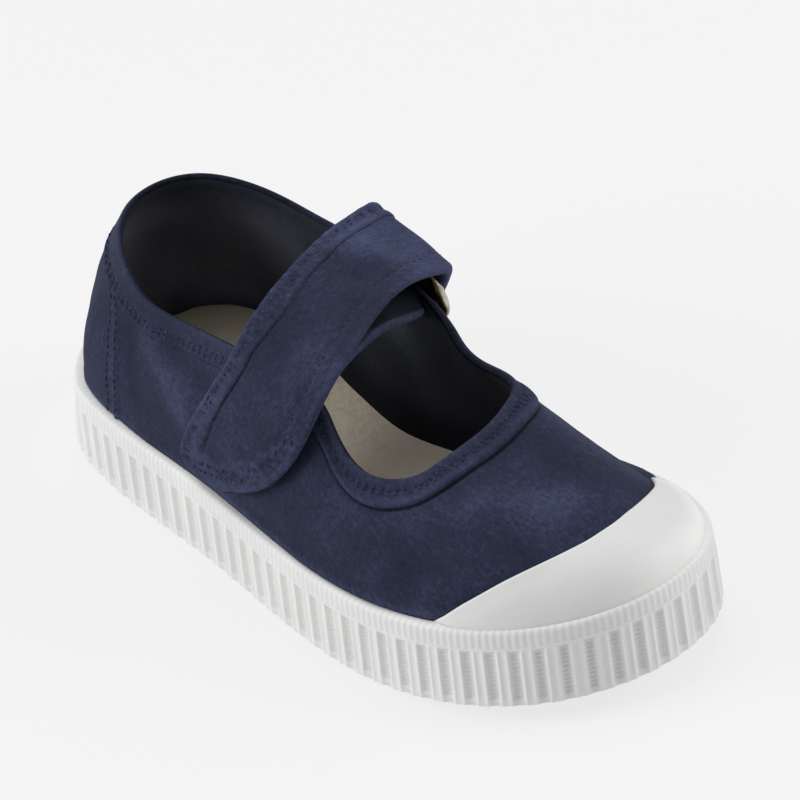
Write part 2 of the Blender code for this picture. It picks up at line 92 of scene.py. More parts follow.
# %% Sections of the upper
SECTIONS = [
    # share  x      y      z     rise  reach slope
    (0.000, 17.2, 1.0, 55.8, 19.4, 10.8, 57.6),        # heel back
    (0.055, 22.0, -11.0, 53.4, 18.0, 10.6, 65.5),
    (0.112, 37.0, -18.6, 48.5, 14.0, 10.0, 78.0),      # heel side, outer
    (0.172, 55.0, -19.9, 48.8, 12.0, 12.0, 76.0),
    (0.227, 77.0, -20.3, 51.2, 12.0, 13.0, 74.0),      # strap root
    (0.256, 89.0, -20.3, 51.8, 12.0, 13.0, 74.0),
    (0.281, 99.0, -20.0, 49.6, 11.0, 12.0, 72.0),
    (0.304, 105.0, -21.0, 43.5, 9.0, 10.0, 62.0),      # throat, outer side
    (0.330, 113.0, -21.5, 40.0, 8.0, 10.0, 45.0),
    (0.360, 120.5, -18.3, 40.0, 8.0, 12.0, 32.0),
    (0.410, 125.0, -11.5, 42.5, 9.0, 20.0, 15.0),
    (0.490, 125.0, 0.0, 43.8, 10.5, 27.0, 12.0),       # throat, front
    (0.570, 121.5, 9.8, 43.8, 3.4, 15.0, 19.5),
    (0.617, 117.5, 15.0, 44.0, 1.0, 11.0, 50.0),
    (0.655, 110.5, 16.4, 43.0, 1.8, 9.3, 51.0),
    (0.703, 101.0, 17.5, 42.0, 9.5, 10.0, 65.5),       # throat, inner side
    (0.724, 97.2, 18.0, 43.6, 11.0, 11.0, 71.0),
    (0.743, 93.0, 18.9, 46.3, 12.0, 12.0, 76.0),       # ring seat
    (0.803, 68.0, 20.6, 52.5, 12.0, 13.0, 78.0),
    (0.852, 50.0, 21.0, 52.5, 12.0, 12.0, 78.0),
    (0.900, 35.0, 20.0, 53.0, 14.0, 11.0, 76.0),       # heel side, inner
    (0.950, 22.5, 12.5, 55.8, 17.9, 11.0, 71.0),
]

# %% [markdown]
# ## Curves that everything hangs on
#
# A closed cubic spline turns each short table into a smooth loop. It could be a Bezier
# curve object as well, but as a function it can be read at any place, which is what
# the surface of the upper needs.

# %% A closed spline, and gentle steps and bumps
def closed_spline(keys, values, at):
    """Smooth closed curve through values at keys (0 to 1), read at the places at."""
    keys, values = np.asarray(keys, float), np.asarray(values, float)
    count = len(keys)
    step = np.diff(np.append(keys, keys[0] + 1.0))
    slope = (np.roll(values, -1, axis=0) - values) / step[:, None]
    matrix = np.zeros((count, count))
    for i in range(count):
        matrix[i, i - 1] += step[i - 1]
        matrix[i, i] += 2.0 * (step[i - 1] + step[i])
        matrix[i, (i + 1) % count] += step[i]
    bend = np.linalg.solve(matrix, 6.0 * (slope - np.roll(slope, 1, axis=0)))
    at = np.asarray(at, float) % 1.0
    i = (np.searchsorted(keys, at, side="right") - 1) % count
    j = (i + 1) % count
    width = step[i][..., None]
    past = ((at - keys[i]) % 1.0)[..., None]
    left = width - past
    return (bend[i] * left ** 3 / (6 * width) + bend[j] * past ** 3 / (6 * width)
            + (values[i] / width - bend[i] * width / 6) * left
            + (values[j] / width - bend[j] * width / 6) * past)


def ease(low, high, x):
    """0 below low, 1 above high, with a soft step between."""
    t = np.clip((x - low) / (high - low), 0.0, 1.0)
    return t * t * (3.0 - 2.0 * t)


def hump(x, middle, width):
    """A soft bump of height 1."""
    return np.exp(-((x - middle) / width) ** 2)


def unit(vectors):
    """The same directions, one long."""
    return vectors / np.maximum(np.linalg.norm(vectors, axis=-1, keepdims=True), 1e-12)


def runs_along(points):
    """Distance run along a line, up to each of its points."""
    return np.append(0.0, np.cumsum(np.linalg.norm(np.diff(points, axis=0), axis=1)))


def read_line(points, keys, at):
    """A line's points read at the places at, between its keys."""
    return np.stack([np.interp(at, keys, column) for column in points.T], axis=-1)

# %% The sole's edge as a function
def round_shares(points):
    """Each point's share of a closed line, and the line's length."""
    run = runs_along(np.vstack([points, points[:1]]))
    return run[:-1] / run[-1], run[-1]


def trace_outline(count=4000):
    """Dense points along the sole's edge, with their shares and its length."""
    keys = round_shares(np.array(OUTLINE))[0]
    dense = closed_spline(keys, OUTLINE, np.linspace(0.0, 1.0, count, endpoint=False))
    return (dense, *round_shares(dense))


EDGE_POINTS, EDGE_SHARES, PERIMETER = trace_outline()
MIDDLE = (EDGE_POINTS.min(axis=0) + EDGE_POINTS.max(axis=0)) / 2
print(f"sole edge {PERIMETER:.1f} mm round, middle at {MIDDLE.round(3)}")


def edge_at(shares):
    """Points on the sole's edge at these shares."""
    points = np.vstack([EDGE_POINTS, EDGE_POINTS[:1]])
    return read_line(points, np.append(EDGE_SHARES, 1.0), np.asarray(shares, float) % 1.0)


def edge_inset(shares, inset):
    """The same points moved inwards, square to the edge."""
    along = unit(edge_at(shares + 0.002) - edge_at(shares - 0.002))
    inward = np.stack([-along[..., 1], along[..., 0]], axis=-1)
    return edge_at(shares) + inward * np.asarray(inset)[..., None]


def toe_lift(x):
    """How far the sole has risen off the floor at x."""
    start = SPRING_START * LENGTH
    return TOE_SPRING * np.clip((x - start) / (LENGTH - start), 0.0, None) ** 2


def foxing_at(shares):
    """The foxing's lean over its height, and its thickness."""
    x, lean, wall = np.array(FOXING).T
    here = edge_at(shares)[..., 0]
    return np.interp(here, x, lean), np.interp(here, x, wall)


def side_point(shares, inset, z):
    """A point of the sole's side at height z, with the foxing's lean and the toe's lift."""
    z = np.broadcast_to(z, shares.shape)
    flat = edge_inset(shares, inset + foxing_at(shares)[0] * z / FOXING_HEIGHT)
    return np.concatenate([flat, (z + toe_lift(flat[..., 0]))[..., None]], axis=-1)

# %% [markdown]
# ## The upper's face
#
# The face of the upper is a fan of curves, each from the foxing up to the topline.
# For seams and folded bands the useful measure is not a share of that curve but the
# distance run down from the topline in millimetres, as a tailor marks a hem. A table
# of run against height turns the one into the other.

# %% The face by share and height
CAP_SHARES = (0.368, 0.624)
CAP_RAMP = 0.02             # share over which the foxing makes room for the cap
SECTION_TABLE = np.array(SECTIONS)


def under_cap(shares):
    """1 where the toe cap lies over the upper, 0 a little past its ends."""
    first, last = CAP_SHARES
    return np.interp(shares, [first - CAP_RAMP, first, last, last + CAP_RAMP], [0, 1, 1, 0])


def upper_face(shares, heights):
    """Outer face of the upper at each share, height 0 at the sole and 1 at the topline."""
    shares, heights = np.broadcast_arrays(shares, heights)
    rows = closed_spline(SECTION_TABLE[:, 0], SECTION_TABLE[:, 1:], shares)
    rim, rise, reach = rows[..., 0:3], rows[..., 3:4], rows[..., 4:5]
    slope = np.radians(rows[..., 5:6])
    inset = foxing_at(shares)[1] + GAP + (CAP_WALL + GAP) * under_cap(shares)
    foot = side_point(shares, inset, SOLE_TOP)
    start = side_point(shares, inset, FOXING_HEIGHT)
    outward = side_point(shares, inset - BULGE, FOXING_HEIGHT) - start
    up = unit(start - foot) + outward
    inward = unit(rim[..., :2] - start[..., :2])
    arrive = np.concatenate([inward * np.cos(slope), np.sin(slope)], axis=-1)
    height = heights[..., None]
    t = np.clip((height - HIDDEN) / (1.0 - HIDDEN), 0.0, 1.0)
    curve = ((1 - t) ** 3 * start + 3 * t * (1 - t) ** 2 * (start + up * rise)
             + 3 * t * t * (1 - t) * (rim - arrive * reach) + t ** 3 * rim)
    return np.where(height < HIDDEN, foot + (start - foot) * height / HIDDEN, curve)

# %% Distance run down from the topline
STATIONS = 420
RUN_STEP = 0.25             # mm between the runs of the table
RUNS = np.arange(0.0, 75.0, RUN_STEP)


def measure_runs():
    """Height for each station and run, and each station's run down to the foxing."""
    heights = np.linspace(1.0, 0.0, 241)
    face = upper_face(np.arange(STATIONS) / STATIONS, heights[:, None])
    runs = [runs_along(column) for column in face.transpose(1, 0, 2)]
    table = np.array([np.interp(RUNS, run, heights) for run in runs])
    return table, np.array([np.interp(-HIDDEN, -heights, run) for run in runs])


HEIGHT_TABLE, FOXING_RUN = measure_runs()
print(f"upper stands {FOXING_RUN.min():.1f} to {FOXING_RUN.max():.1f} mm above the foxing")


def foxing_run(shares):
    """Distance from the topline down to the foxing's edge."""
    return np.interp(shares, np.arange(STATIONS) / STATIONS, FOXING_RUN, period=1.0)


def on_face(shares, runs):
    """The face's point at each share and run."""
    a = (shares % 1.0) * STATIONS
    b = np.clip(runs / RUN_STEP, 0, len(RUNS) - 1.001)
    i, j = np.floor(a).astype(int), np.floor(b).astype(int)
    a, b = a - i, b - j
    here, there = [HEIGHT_TABLE[k % STATIONS, j] * (1 - b) + HEIGHT_TABLE[k % STATIONS, j + 1] * b
                   for k in (i, i + 1)]
    return upper_face(shares, here * (1 - a) + there * a)


def face_frame(shares, runs):
    """Point, upward direction and outward normal of the face."""
    low, high = np.maximum(runs - 0.4, 0.0), runs + 0.4
    along = on_face(shares + 0.0015, runs) - on_face(shares - 0.0015, runs)
    rising = unit(on_face(shares, low) - on_face(shares, high))
    return on_face(shares, runs), rising, unit(np.cross(along, rising))

# %% [markdown]
# ## Making meshes
#
# Every sheet below starts as a flat grid from `bmesh.ops.create_grid`, whose corners
# are then laid on the form, the way cloth is lasted. The grid's own UV map is turned to
# real millimetres on the flat cloth, so that a weave keeps its thread spacing, and a
# value goes with each corner for wear and for painted light and shade: paler folds and
# ridges, darker hollows and recesses. A "seam" value is its distance in mm from the
# nearest turned edge, where the cloth shows a thin dark line, partly its own and partly
# painted shade.

# %% Lay a grid on a form
FAR = 9.0                   # a seam too far away to be seen, in mm


def flat_map(points):
    """Where each corner of a grid lies on the flat cloth, in millimetres."""
    across = np.linalg.norm(np.diff(points, axis=1), axis=2)
    up = np.linalg.norm(np.diff(points, axis=0), axis=2)
    u = np.pad(np.cumsum(across, axis=1), ((0, 0), (1, 0)))
    v = np.pad(np.cumsum(up, axis=0), ((1, 0), (0, 0)))
    middle = points.shape[1] // 2
    return np.stack([u - u[:, middle:middle + 1], v], axis=-1)


def lay_grid(maker, points, wear_and_shade, seam=None, flat=None):
    """Add a grid to maker and move its corners to these rows of points."""
    rows, columns = points.shape[:2]
    worn_and_shaded, line = maker.verts.layers.float["wear_and_shade"], maker.verts.layers.float["seam"]
    cloth = maker.loops.layers.uv["Cloth"]
    flat = (flat_map(points) if flat is None else flat) * MM
    grid = bmesh.ops.create_grid(maker, x_segments=columns - 1, y_segments=rows - 1, size=0.5)
    for vert in grid["verts"]:
        i = round((vert.co.x + 0.5) * (columns - 1))
        j = round((vert.co.y + 0.5) * (rows - 1))
        vert[worn_and_shaded] = wear_and_shade[j, i]
        vert[line] = FAR if seam is None else seam[j, i]
        vert.co = points[j, i]
        for loop in vert.link_loops:
            loop[cloth].uv = flat[j, i]

# %% Start and finish a piece
def start_piece():
    """An empty mesh maker with the layers that each piece carries."""
    maker = bmesh.new()
    maker.loops.layers.uv.new("Cloth")
    maker.verts.layers.float.new("wear_and_shade")
    maker.verts.layers.float.new("seam")
    return maker


def finish_piece(name, maker, material, nodes=(), smooth=60.0):
    """Close the mesh, put it in the frame's metres and let it ride on the shoe."""
    bmesh.ops.remove_doubles(maker, verts=maker.verts, dist=0.002)
    bmesh.ops.recalc_face_normals(maker, faces=maker.faces)
    bmesh.ops.translate(maker, verts=maker.verts, vec=(-MIDDLE[0], -MIDDLE[1], 0.0))
    bmesh.ops.scale(maker, verts=maker.verts, vec=(MM, MM, MM))
    mesh = bpy.data.meshes.new(name)
    maker.to_mesh(mesh)
    maker.free()
    mesh.shade_smooth()
    mesh.set_sharp_from_angle(angle=math.radians(smooth))
    mesh.materials.append(material)
    piece = bpy.data.objects.new(name, mesh)
    bpy.context.collection.objects.link(piece)
    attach(piece, "root")
    if nodes:
        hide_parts(*nodes)
    print(f"{name}: {len(mesh.vertices)} points, {len(mesh.polygons)} faces")


def loop_piece(name, points, wear_and_shade, material, nodes=(), seam=None, smooth=60.0):
    """A piece from rows of points whose last column meets the first."""
    points[:, -1] = points[:, 0]
    maker = start_piece()
    lay_grid(maker, points, wear_and_shade, seam)
    finish_piece(name, maker, material, nodes, smooth)

# %% Soft irregular cloth
def ripples(points, size, seed):
    """A smooth irregular value between about -1 and 1, whose bumps are about size across."""
    draw = np.random.default_rng(seed)
    total = np.zeros(points.shape[:-1])
    for _ in range(14):
        way = unit(draw.normal(size=3)) * 2 * math.pi / (size * draw.uniform(0.7, 1.6))
        total += np.sin(points @ way + draw.uniform(0, 2 * math.pi))
    return total / 3.8

# %% [markdown]
# ## Finishes
#
# Colours are picked as sRGB hex values, the way a dyer's card is read, and one function
# turns them to the linear values that the renderer works in.

# %% Colours and nodes
def hex_colour(text):
    """sRGB hex to linear RGBA."""
    parts = [int(text[i:i + 2], 16) / 255.0 for i in (0, 2, 4)]
    linear = [c / 12.92 if c <= 0.04045 else ((c + 0.055) / 1.055) ** 2.4 for c in parts]
    return (*linear, 1.0)


def add_node(tree, kind, settings=None, inputs=None, out=0, to=None):
    """Add a node with its settings and inputs, link its output on, and return that output."""
    node = tree.nodes.new(kind)
    for name, value in (settings or {}).items():
        setattr(node, name, value)
    for name, value in (inputs or {}).items():
        if isinstance(value, bpy.types.NodeSocket):
            tree.links.new(value, node.inputs[name])
        else:
            node.inputs[name].default_value = value
    if to is not None:
        tree.links.new(node.outputs[out], to)
    return node.outputs[out]


def new_material(name, **constants):
    """A material with its Principled shader, whose plain values are set on its sockets."""
    material = bpy.data.materials.new(name)
    material.use_nodes = True
    shader = material.node_tree.nodes["Principled BSDF"]
    for socket, value in constants.items():
        shader.inputs[socket.replace("_", " ")].default_value = value
    return material, material.node_tree, shader

# %% Steps that the finishes share
def soft_patterns(tree, *looks):
    """The piece's wear with its painted light and shade, and a cloudy pattern for each (bumps per
    metre, detail, roughness).
    """
    place = add_node(tree, "ShaderNodeTexCoord", out="Object")
    worn_and_shaded = add_node(tree, "ShaderNodeAttribute", {"attribute_name": "wear_and_shade"}, out="Fac")
    return [worn_and_shaded] + [add_node(tree, "ShaderNodeTexNoise", None,
                              {"Vector": place, "Scale": scale, "Detail": detail,
                               "Roughness": rough}) for scale, detail, rough in looks]


def weigh(tree, total, *terms):
    """Add patterns to a total, each times its share."""
    for pattern, share in terms:
        total = add_node(tree, "ShaderNodeMath", {"operation": "MULTIPLY_ADD"},
                         {0: pattern, 1: share, 2: total})
    return total


def finish_shader(tree, shader, tone, colours, rough=None, bump=None):
    """Colour the shader by tone, and give it roughness and fine relief from patterns."""
    ramp = add_node(tree, "ShaderNodeValToRGB", None, {"Fac": tone},
                    to=shader.inputs["Base Color"])
    stops = ramp.node.color_ramp.elements
    for stop, (place, colour) in ((stops[0], colours[0]), (stops[1], colours[-1])):
        stop.position, stop.color = place, hex_colour(colour)
    for place, colour in colours[1:-1]:
        stops.new(place).color = hex_colour(colour)
    if rough:
        pattern, low, high = rough
        add_node(tree, "ShaderNodeMapRange", None,
                 {"Value": pattern, "To Min": low, "To Max": high},
                 to=shader.inputs["Roughness"])
    if bump:
        height, strength, distance = bump
        add_node(tree, "ShaderNodeBump", None,
                 {"Height": height, "Strength": strength, "Distance": distance},
                 to=shader.inputs["Normal"])

# %% [markdown]
# ### Garment-dyed canvas
#
# The shoe is sewn from undyed cotton canvas and dyed whole afterwards. Dye takes less
# on ridges and folds, so they are a shade paler, and the cloth is faintly mottled. Each
# corner's wear value also carries painted light and shade: crease ridges paler and
# troughs darker, the heel lining lighter, and the canvas inside the shoe and the hollow
# under the turned-back strap darker. The dark line along each turned edge is the fold's
# own line with painted shade in its groove. The threads are about 0.45 mm apart; they
# are drawn at 0.6 mm so that they can be seen. A woven picture would show them too, but
# patterns need no picture and follow the folds.

# %% Garment-dyed canvas
THREAD_PITCH = 0.6


def canvas_material(name, dark, middle, pale, mottle=1.0):
    """Dull woven cotton: plain weave, speckled dye, paler where worn, painted light and shade from
    each corner's wear value, dark along seams with painted shade in their grooves.
    """
    material, tree, shader = new_material(
        name, Sheen_Weight=0.07, Sheen_Roughness=0.5, Sheen_Tint=hex_colour("a8aec6"),
        IOR=1.45, Specular_IOR_Level=0.12)
    cloth = add_node(tree, "ShaderNodeUVMap", {"uv_map": "Cloth"})
    waves = []
    for direction in ("X", "Y"):
        wave = add_node(tree, "ShaderNodeTexWave", {"bands_direction": direction},
                        {"Vector": cloth, "Scale": 1000.0 / THREAD_PITCH / 10.0 * math.pi,
                         "Distortion": 0.6, "Detail": 1.0}, out="Fac")
        waves.append(weigh(tree, -0.5, (wave, 1.0)))
    plain = weigh(tree, 0.5, waves)
    worn_and_shaded, speckle, slub, cloud = soft_patterns(
        tree, (1300.0, 2.0, 0.6), (720.0, 2.0, 0.6), (90.0, 3.0, 0.5))
    drawn = add_node(tree, "ShaderNodeVectorMath", {"operation": "MULTIPLY"},
                     {0: cloth, 1: (1.0, 0.35, 1.0)})
    warp = add_node(tree, "ShaderNodeTexNoise", None,
                    {"Vector": drawn, "Scale": 1400.0, "Detail": 2.0})
    seam = add_node(tree, "ShaderNodeAttribute", {"attribute_name": "seam"}, out="Fac")
    line = add_node(tree, "ShaderNodeMapRange", {"interpolation_type": "SMOOTHSTEP"},
                    {"Value": seam, "From Min": 0.06, "From Max": 0.42,
                     "To Min": 1.0, "To Max": 0.0})
    # The dye's tone: the cloth's own mottle and weave, the wear value with its painted light and
    # shade, and the seam line, darkened as painted shade in its groove.
    dye = weigh(tree, 0.41 - 0.49 * mottle, (speckle, 0.32 * mottle), (warp, 0.24 * mottle),
                (slub, 0.27 * mottle), (cloud, 0.15 * mottle), (plain, 0.07), (worn_and_shaded, 1.0),
                (line, -0.48))
    height = weigh(tree, warp, (plain, 0.5), (line, -2.5))
    finish_shader(tree, shader, dye, [(0.05, dark), (0.45, middle), (1.0, pale)],
                  (slub, 0.82, 0.96), (height, 0.5, 0.00013))
    return material


CANVAS = canvas_material("Garment_Dyed_Cotton_Canvas", "0f1119", "282c3f", "4e5476")
LINING = canvas_material("Dark_Cotton_Lining", "1a1b21", "282a32", "5f616b", mottle=0.4)
print("canvas and lining ready")

# %% [markdown]
# ### Moulded rubber
#
# Foxing and toe cap are off-white vulcanised rubber. The surface is matt with a faint
# grain from the mould, and the hollows between the ribs are a little grey as painted
# shade. One even colour would look like plastic, so its tone follows the value of each
# corner, which carries that painted shade and, low on the toe cap's inner side, painted
# light.

# %% Moulded rubber
def rubber_material():
    """Matt moulded rubber, greyer in its hollows as painted shade."""
    material, tree, shader = new_material(
        "Moulded_White_Rubber", IOR=1.52, Specular_IOR_Level=0.35)
    worn_and_shaded, cloud, grain = soft_patterns(tree, (60.0, 4.0, 0.55), (1800.0, 3.0, 0.6))
    finish_shader(tree, shader, weigh(tree, worn_and_shaded, (cloud, 0.25)),
                  [(0.0, "bababa"), (0.7, "e9e9e8")], (grain, 0.46, 0.64),
                  (grain, 0.10, 0.00008))
    return material


RUBBER = rubber_material()
print("rubber ready")

# %% [markdown]
# ### Insole cover, metal and thread
#
# The insole is covered with undyed cotton twill, warm beige. Its slanting lines are
# drawn 1.3 mm apart, a little coarser than on real twill, so that they can be seen. The
# ring is zinc with an antique silver plating that lets some brass show in a cloudy
# pattern; the faces of the wire turned towards the shoe's middle are painted darker
# brass, as painted shade and a painted reflection of the dark strap. The thread was
# dyed with the shoe.

# %% Insole cover, plate and thread
TWILL_SCALE = 330.0         # its lines lie 1.3 mm apart


def insole_material():
    """Undyed cotton twill: fine slanting lines on warm beige."""
    material, tree, shader = new_material(
        "Undyed_Cotton_Insole_Cover", Sheen_Weight=0.15, IOR=1.45, Specular_IOR_Level=0.2,
        Roughness=0.9)
    cloth = add_node(tree, "ShaderNodeUVMap", {"uv_map": "Cloth"})
    twill = add_node(tree, "ShaderNodeTexWave", {"bands_direction": "DIAGONAL"},
                     {"Vector": cloth, "Scale": TWILL_SCALE, "Distortion": 0.5, "Detail": 1.0},
                     out="Fac")
    worn_and_shaded, fleck, cloud = soft_patterns(tree, (700.0, 4.0, 0.7), (50.0, 2.0, 0.5))
    tone = weigh(tree, worn_and_shaded, (fleck, 1.0), (twill, 0.05), (cloud, 0.5))
    finish_shader(tree, shader, tone, [(0.45, "b0a694"), (1.0, "ddd1be")],
                  bump=(tone, 0.4, 0.0001))
    return material


def ring_material():
    """Antique silver plating with brass showing through in patches, and darker brass where painted
    shade and reflection fall.
    """
    material, tree, shader = new_material("Antique_Silver_Plate", Metallic=1.0)
    worn_and_shaded, cloud = soft_patterns(tree, (350.0, 4.0, 0.6))
    finish_shader(tree, shader, weigh(tree, cloud, (worn_and_shaded, -1.0)),
                  [(0.02, "544a2e"), (0.34, "918560"), (0.58, "c6c4bb")],
                  (cloud, 0.22, 0.42))
    return material


def thread_material():
    """Twisted sewing thread, dyed with the shoe."""
    material, tree, shader = new_material(
        "Navy_Sewing_Thread", IOR=1.5, Specular_IOR_Level=0.1, Roughness=0.85)
    worn_and_shaded, fleck = soft_patterns(tree, (420.0, 3.0, 0.7))
    finish_shader(tree, shader, weigh(tree, fleck, (worn_and_shaded, 1.0)),
                  [(0.38, "22263a"), (0.66, "3f4459")])
    return material


INSOLE_COVER, RING_METAL, THREAD = insole_material(), ring_material(), thread_material()
print("insole cover, plate and thread ready")

# %% [markdown]
# ## Upper
#
# One piece of canvas, lasted over the form. Its edge is folded over all round: at the
# throat the fold is a raised band 6 mm wide with a corded outer edge, at the collar it
# is a flat hem with two rows of stitches. A heel counter is sewn on at the back. Soft
# troughs and ridges show where the cloth was pulled over the toe and where it gives
# at the sides. A cloth simulation would blur the seams, so each crease is placed as a
# line from one point to another in the shoe's sizes.

# %% Seams and creases of the upper
THROAT_BAND = 6.0
HEM_STITCH = [
    # share  run down to the stitch row of the collar hem
    (0.000, 7.0), (0.060, 7.6), (0.096, 6.9), (0.140, 5.4), (0.190, 4.6), (0.230, 4.4),
    (0.720, 4.6), (0.780, 5.2), (0.860, 6.0), (0.930, 7.0), (1.000, 7.0),
]
COUNTER_EDGE = [
    # run   share of the heel counter's front edge
    (0.0, 0.078), (7.1, 0.0905), (11.4, 0.1045), (16.6, 0.1165), (22.5, 0.1240), (40.0, 0.130),
]
CREASES = [
    # x0    y0     z0     x1     y1     z1    width height
    (43.5, -22.2, 40.5, 60.6, -27.2, 31.0, 3.6, 0.90),      # fold across the outer quarter
    (35.7, -22.4, 38.1, 41.5, -26.8, 29.1, 3.2, -0.50),
    (53.1, -22.1, 41.8, 68.0, -24.5, 39.5, 3.6, -0.50),
    (34.9, -27.2, 20.5, 76.4, -30.5, 21.5, 2.6, 0.30),
    (118.0, -29.0, 33.0, 133.0, -27.0, 29.0, 4.0, -0.30),   # pulled over the toe
    (137.9, -13.9, 39.3, 149.6, -0.9, 38.1, 4.6, 0.50),
    (149.6, -0.9, 38.1, 151.4, 7.4, 37.4, 4.6, 0.40),
    (144.2, -15.0, 37.1, 151.6, -15.5, 33.8, 4.2, -0.45),
    (141.8, 5.8, 40.2, 147.8, 8.0, 38.4, 3.2, -0.40),
    (125.1, 15.3, 39.6, 141.1, 16.7, 36.5, 3.6, 0.35),
    (132.8, -13.7, 40.5, 135.2, -4.4, 41.5, 2.6, -0.30),
    (38.0, 26.0, 36.0, 46.0, 27.5, 24.0, 4.0, -0.45),       # inner side
    (50.0, 25.0, 38.0, 57.0, 26.5, 26.0, 3.6, 0.45),
    (104.0, 24.0, 34.0, 116.0, 27.0, 26.0, 4.0, 0.40),
]
print(len(CREASES), "creases")

# %% Reading the seams and creases
def crease_height(points, creases):
    """Soft ridges and troughs along straight lines, added up at these points."""
    total = np.zeros(points.shape[:-1])
    for x0, y0, z0, x1, y1, z1, width, height in creases:
        start, line = np.array([x0, y0, z0]), np.array([x1 - x0, y1 - y0, z1 - z0])
        t = np.clip(((points - start) @ line) / (line @ line), 0.0, 1.0)
        away = np.linalg.norm(points - start - t[..., None] * line, axis=-1)
        total += height * hump(away, 0.0, width)
    return total


def throat_share(shares):
    """1 along the throat, 0 along the collar, soft under the strap."""
    shares = shares % 1.0
    return ease(0.262, 0.290, shares) * (1.0 - ease(0.748, 0.772, shares))


def hem_run(shares):
    """Run of the collar hem's stitch row."""
    share, run = np.array(HEM_STITCH).T
    return np.interp(shares % 1.0, share, run)


def counter_share(runs):
    """Share at which the heel counter ends on either side."""
    run, share = np.array(COUNTER_EDGE).T
    return np.interp(runs, run, share)

# %% Relief of the canvas
def canvas_relief(shares, runs, points):
    """How far the canvas stands off the form, how worn it is, and its nearest seam line."""
    throat = throat_share(shares)
    pucker = 1.0 + 0.35 * np.cos(2 * math.pi * shares * 170)
    edge = 0.60 * (1 - ease(THROAT_BAND - 0.1, THROAT_BAND + 0.45, runs))
    cord = 0.42 * hump(runs, THROAT_BAND - 0.75, 0.75)
    trough = -0.30 * hump(runs, THROAT_BAND + 0.75, 0.45)
    sewn = -0.38 * pucker * hump(runs, 3.0, 1.0)
    relief = throat * (edge + cord + trough + sewn)
    hem = hem_run(shares)
    fold = 0.35 * (1 - ease(hem + 1.0, hem + 1.8, runs)) - 0.25
    fold -= 0.28 * pucker * hump(runs, hem - 0.4, 1.0)
    relief += (1 - throat) * fold
    around = np.minimum(shares % 1.0, 1.0 - shares % 1.0)
    inside = (counter_share(runs) - around) * PERIMETER
    below_hem = ease(hem - 1.0, hem + 1.0, runs)
    relief += 0.30 * ease(-0.5, 0.5, inside) * below_hem
    gathers = 1.0 + 0.5 * np.cos(2 * math.pi * runs / 1.7 + 3.0 * np.sin(around * 260.0))
    relief -= 0.16 * gathers * hump(inside, 2.7, 1.8) * below_hem
    relief -= 0.50 * (1 - ease(0.03, 0.11, around)) * ease(10.0, 20.0, runs)
    above = foxing_run(shares) - runs
    at_heel = 1 - ease(0.05, 0.12, around)
    relief += (0.75 - 0.45 * at_heel) * hump(above, 1.0, 1.6) * ease(-0.6, 0.4, above)
    cap_corner = (np.interp(shares, [0.348, 0.368, 0.379, 0.386], [0, 1, 1, 0])
                  + np.interp(shares, [0.613, 0.619, 0.626, 0.644], [0, 1, 1, 0]))
    relief += 1.0 * cap_corner * (1 - ease(1.5, 7.0, above))
    soft = ripples(points, 26.0, 3) * 0.16 + ripples(points, 9.0, 5) * 0.07
    relief += soft * ease(0.0, 6.0, above) * ease(3.0, 9.0, runs)
    creases = crease_height(points, CREASES) * ease(1.0, 5.0, above)
    relief += creases
    # Paler along the topline, the throat band's cord and the roll above the foxing, from wear of
    # the dye. The creases make the cloth paler on their ridges and darker in their troughs, partly
    # dye wear and partly painted light and shade.
    wear_and_shade = 0.05 * hump(runs, 0.0, 1.2) + throat * 0.10 * hump(runs, THROAT_BAND - 0.4, 0.7)
    wear_and_shade += 0.14 * hump(above, 1.3, 0.9)
    wear_and_shade += 0.08 * hump(inside, 2.6, 1.6) * below_hem + 0.3 * soft + 0.18 * creases
    # The seam value draws a dark line along each turned edge and the foxing's edge: the fold's own
    # line, with painted shade in its groove.
    seam = np.minimum(np.abs(runs - THROAT_BAND - 0.55) + FAR * (1 - throat),
                      np.abs(runs - hem - 1.5) + 0.18 + FAR * ease(0.0, 0.5, throat))
    seam = np.minimum(seam, np.abs(inside + 0.15) + 0.28 + FAR * (1 - below_hem))
    return relief, wear_and_shade, np.minimum(seam, np.abs(above - 0.15))

# %% Rows round the upper's wall
UPPER_COLUMNS = 640
RIM = 0.65                  # radius of the folded edge along the topline
BAND_ROWS = 8.0             # the rows down to this run keep an even distance


def wall_rows():
    """Rows once round the wall's section: run near the topline, share of the rest, offset, lift."""
    rows = [(BAND_ROWS + extra, 1.0, 0.0, 0.0) for extra in (8.0, 4.0, 1.5)]
    rows += [(BAND_ROWS, far, 0.0, 0.0) for far in np.linspace(1.0, 0.0, 53)]
    rows += [(near, 0.0, 0.0, 0.0) for near in np.linspace(BAND_ROWS, RIM, 20)[1:]]
    for angle in np.radians(np.linspace(0.0, 180.0, 9)[1:]):
        rows.append((RIM, 0.0, RIM * (math.cos(angle) - 1), RIM * math.sin(angle)))
    rows += [(1.1, 0.0, -1.3, 0.0), (1.9, 0.0, -1.2, 0.0), (2.6, 0.0, -1.1, 0.0)]
    rows += [(4.0, 0.0, -1.0, 0.0)]
    rows += [(BAND_ROWS, far, -1.0, 0.0) for far in (0.0, 0.3, 0.6, 1.0)]
    rows += [(BAND_ROWS + 8.0, 1.0, -1.0, 0.0), rows[0]]
    return np.array(rows)


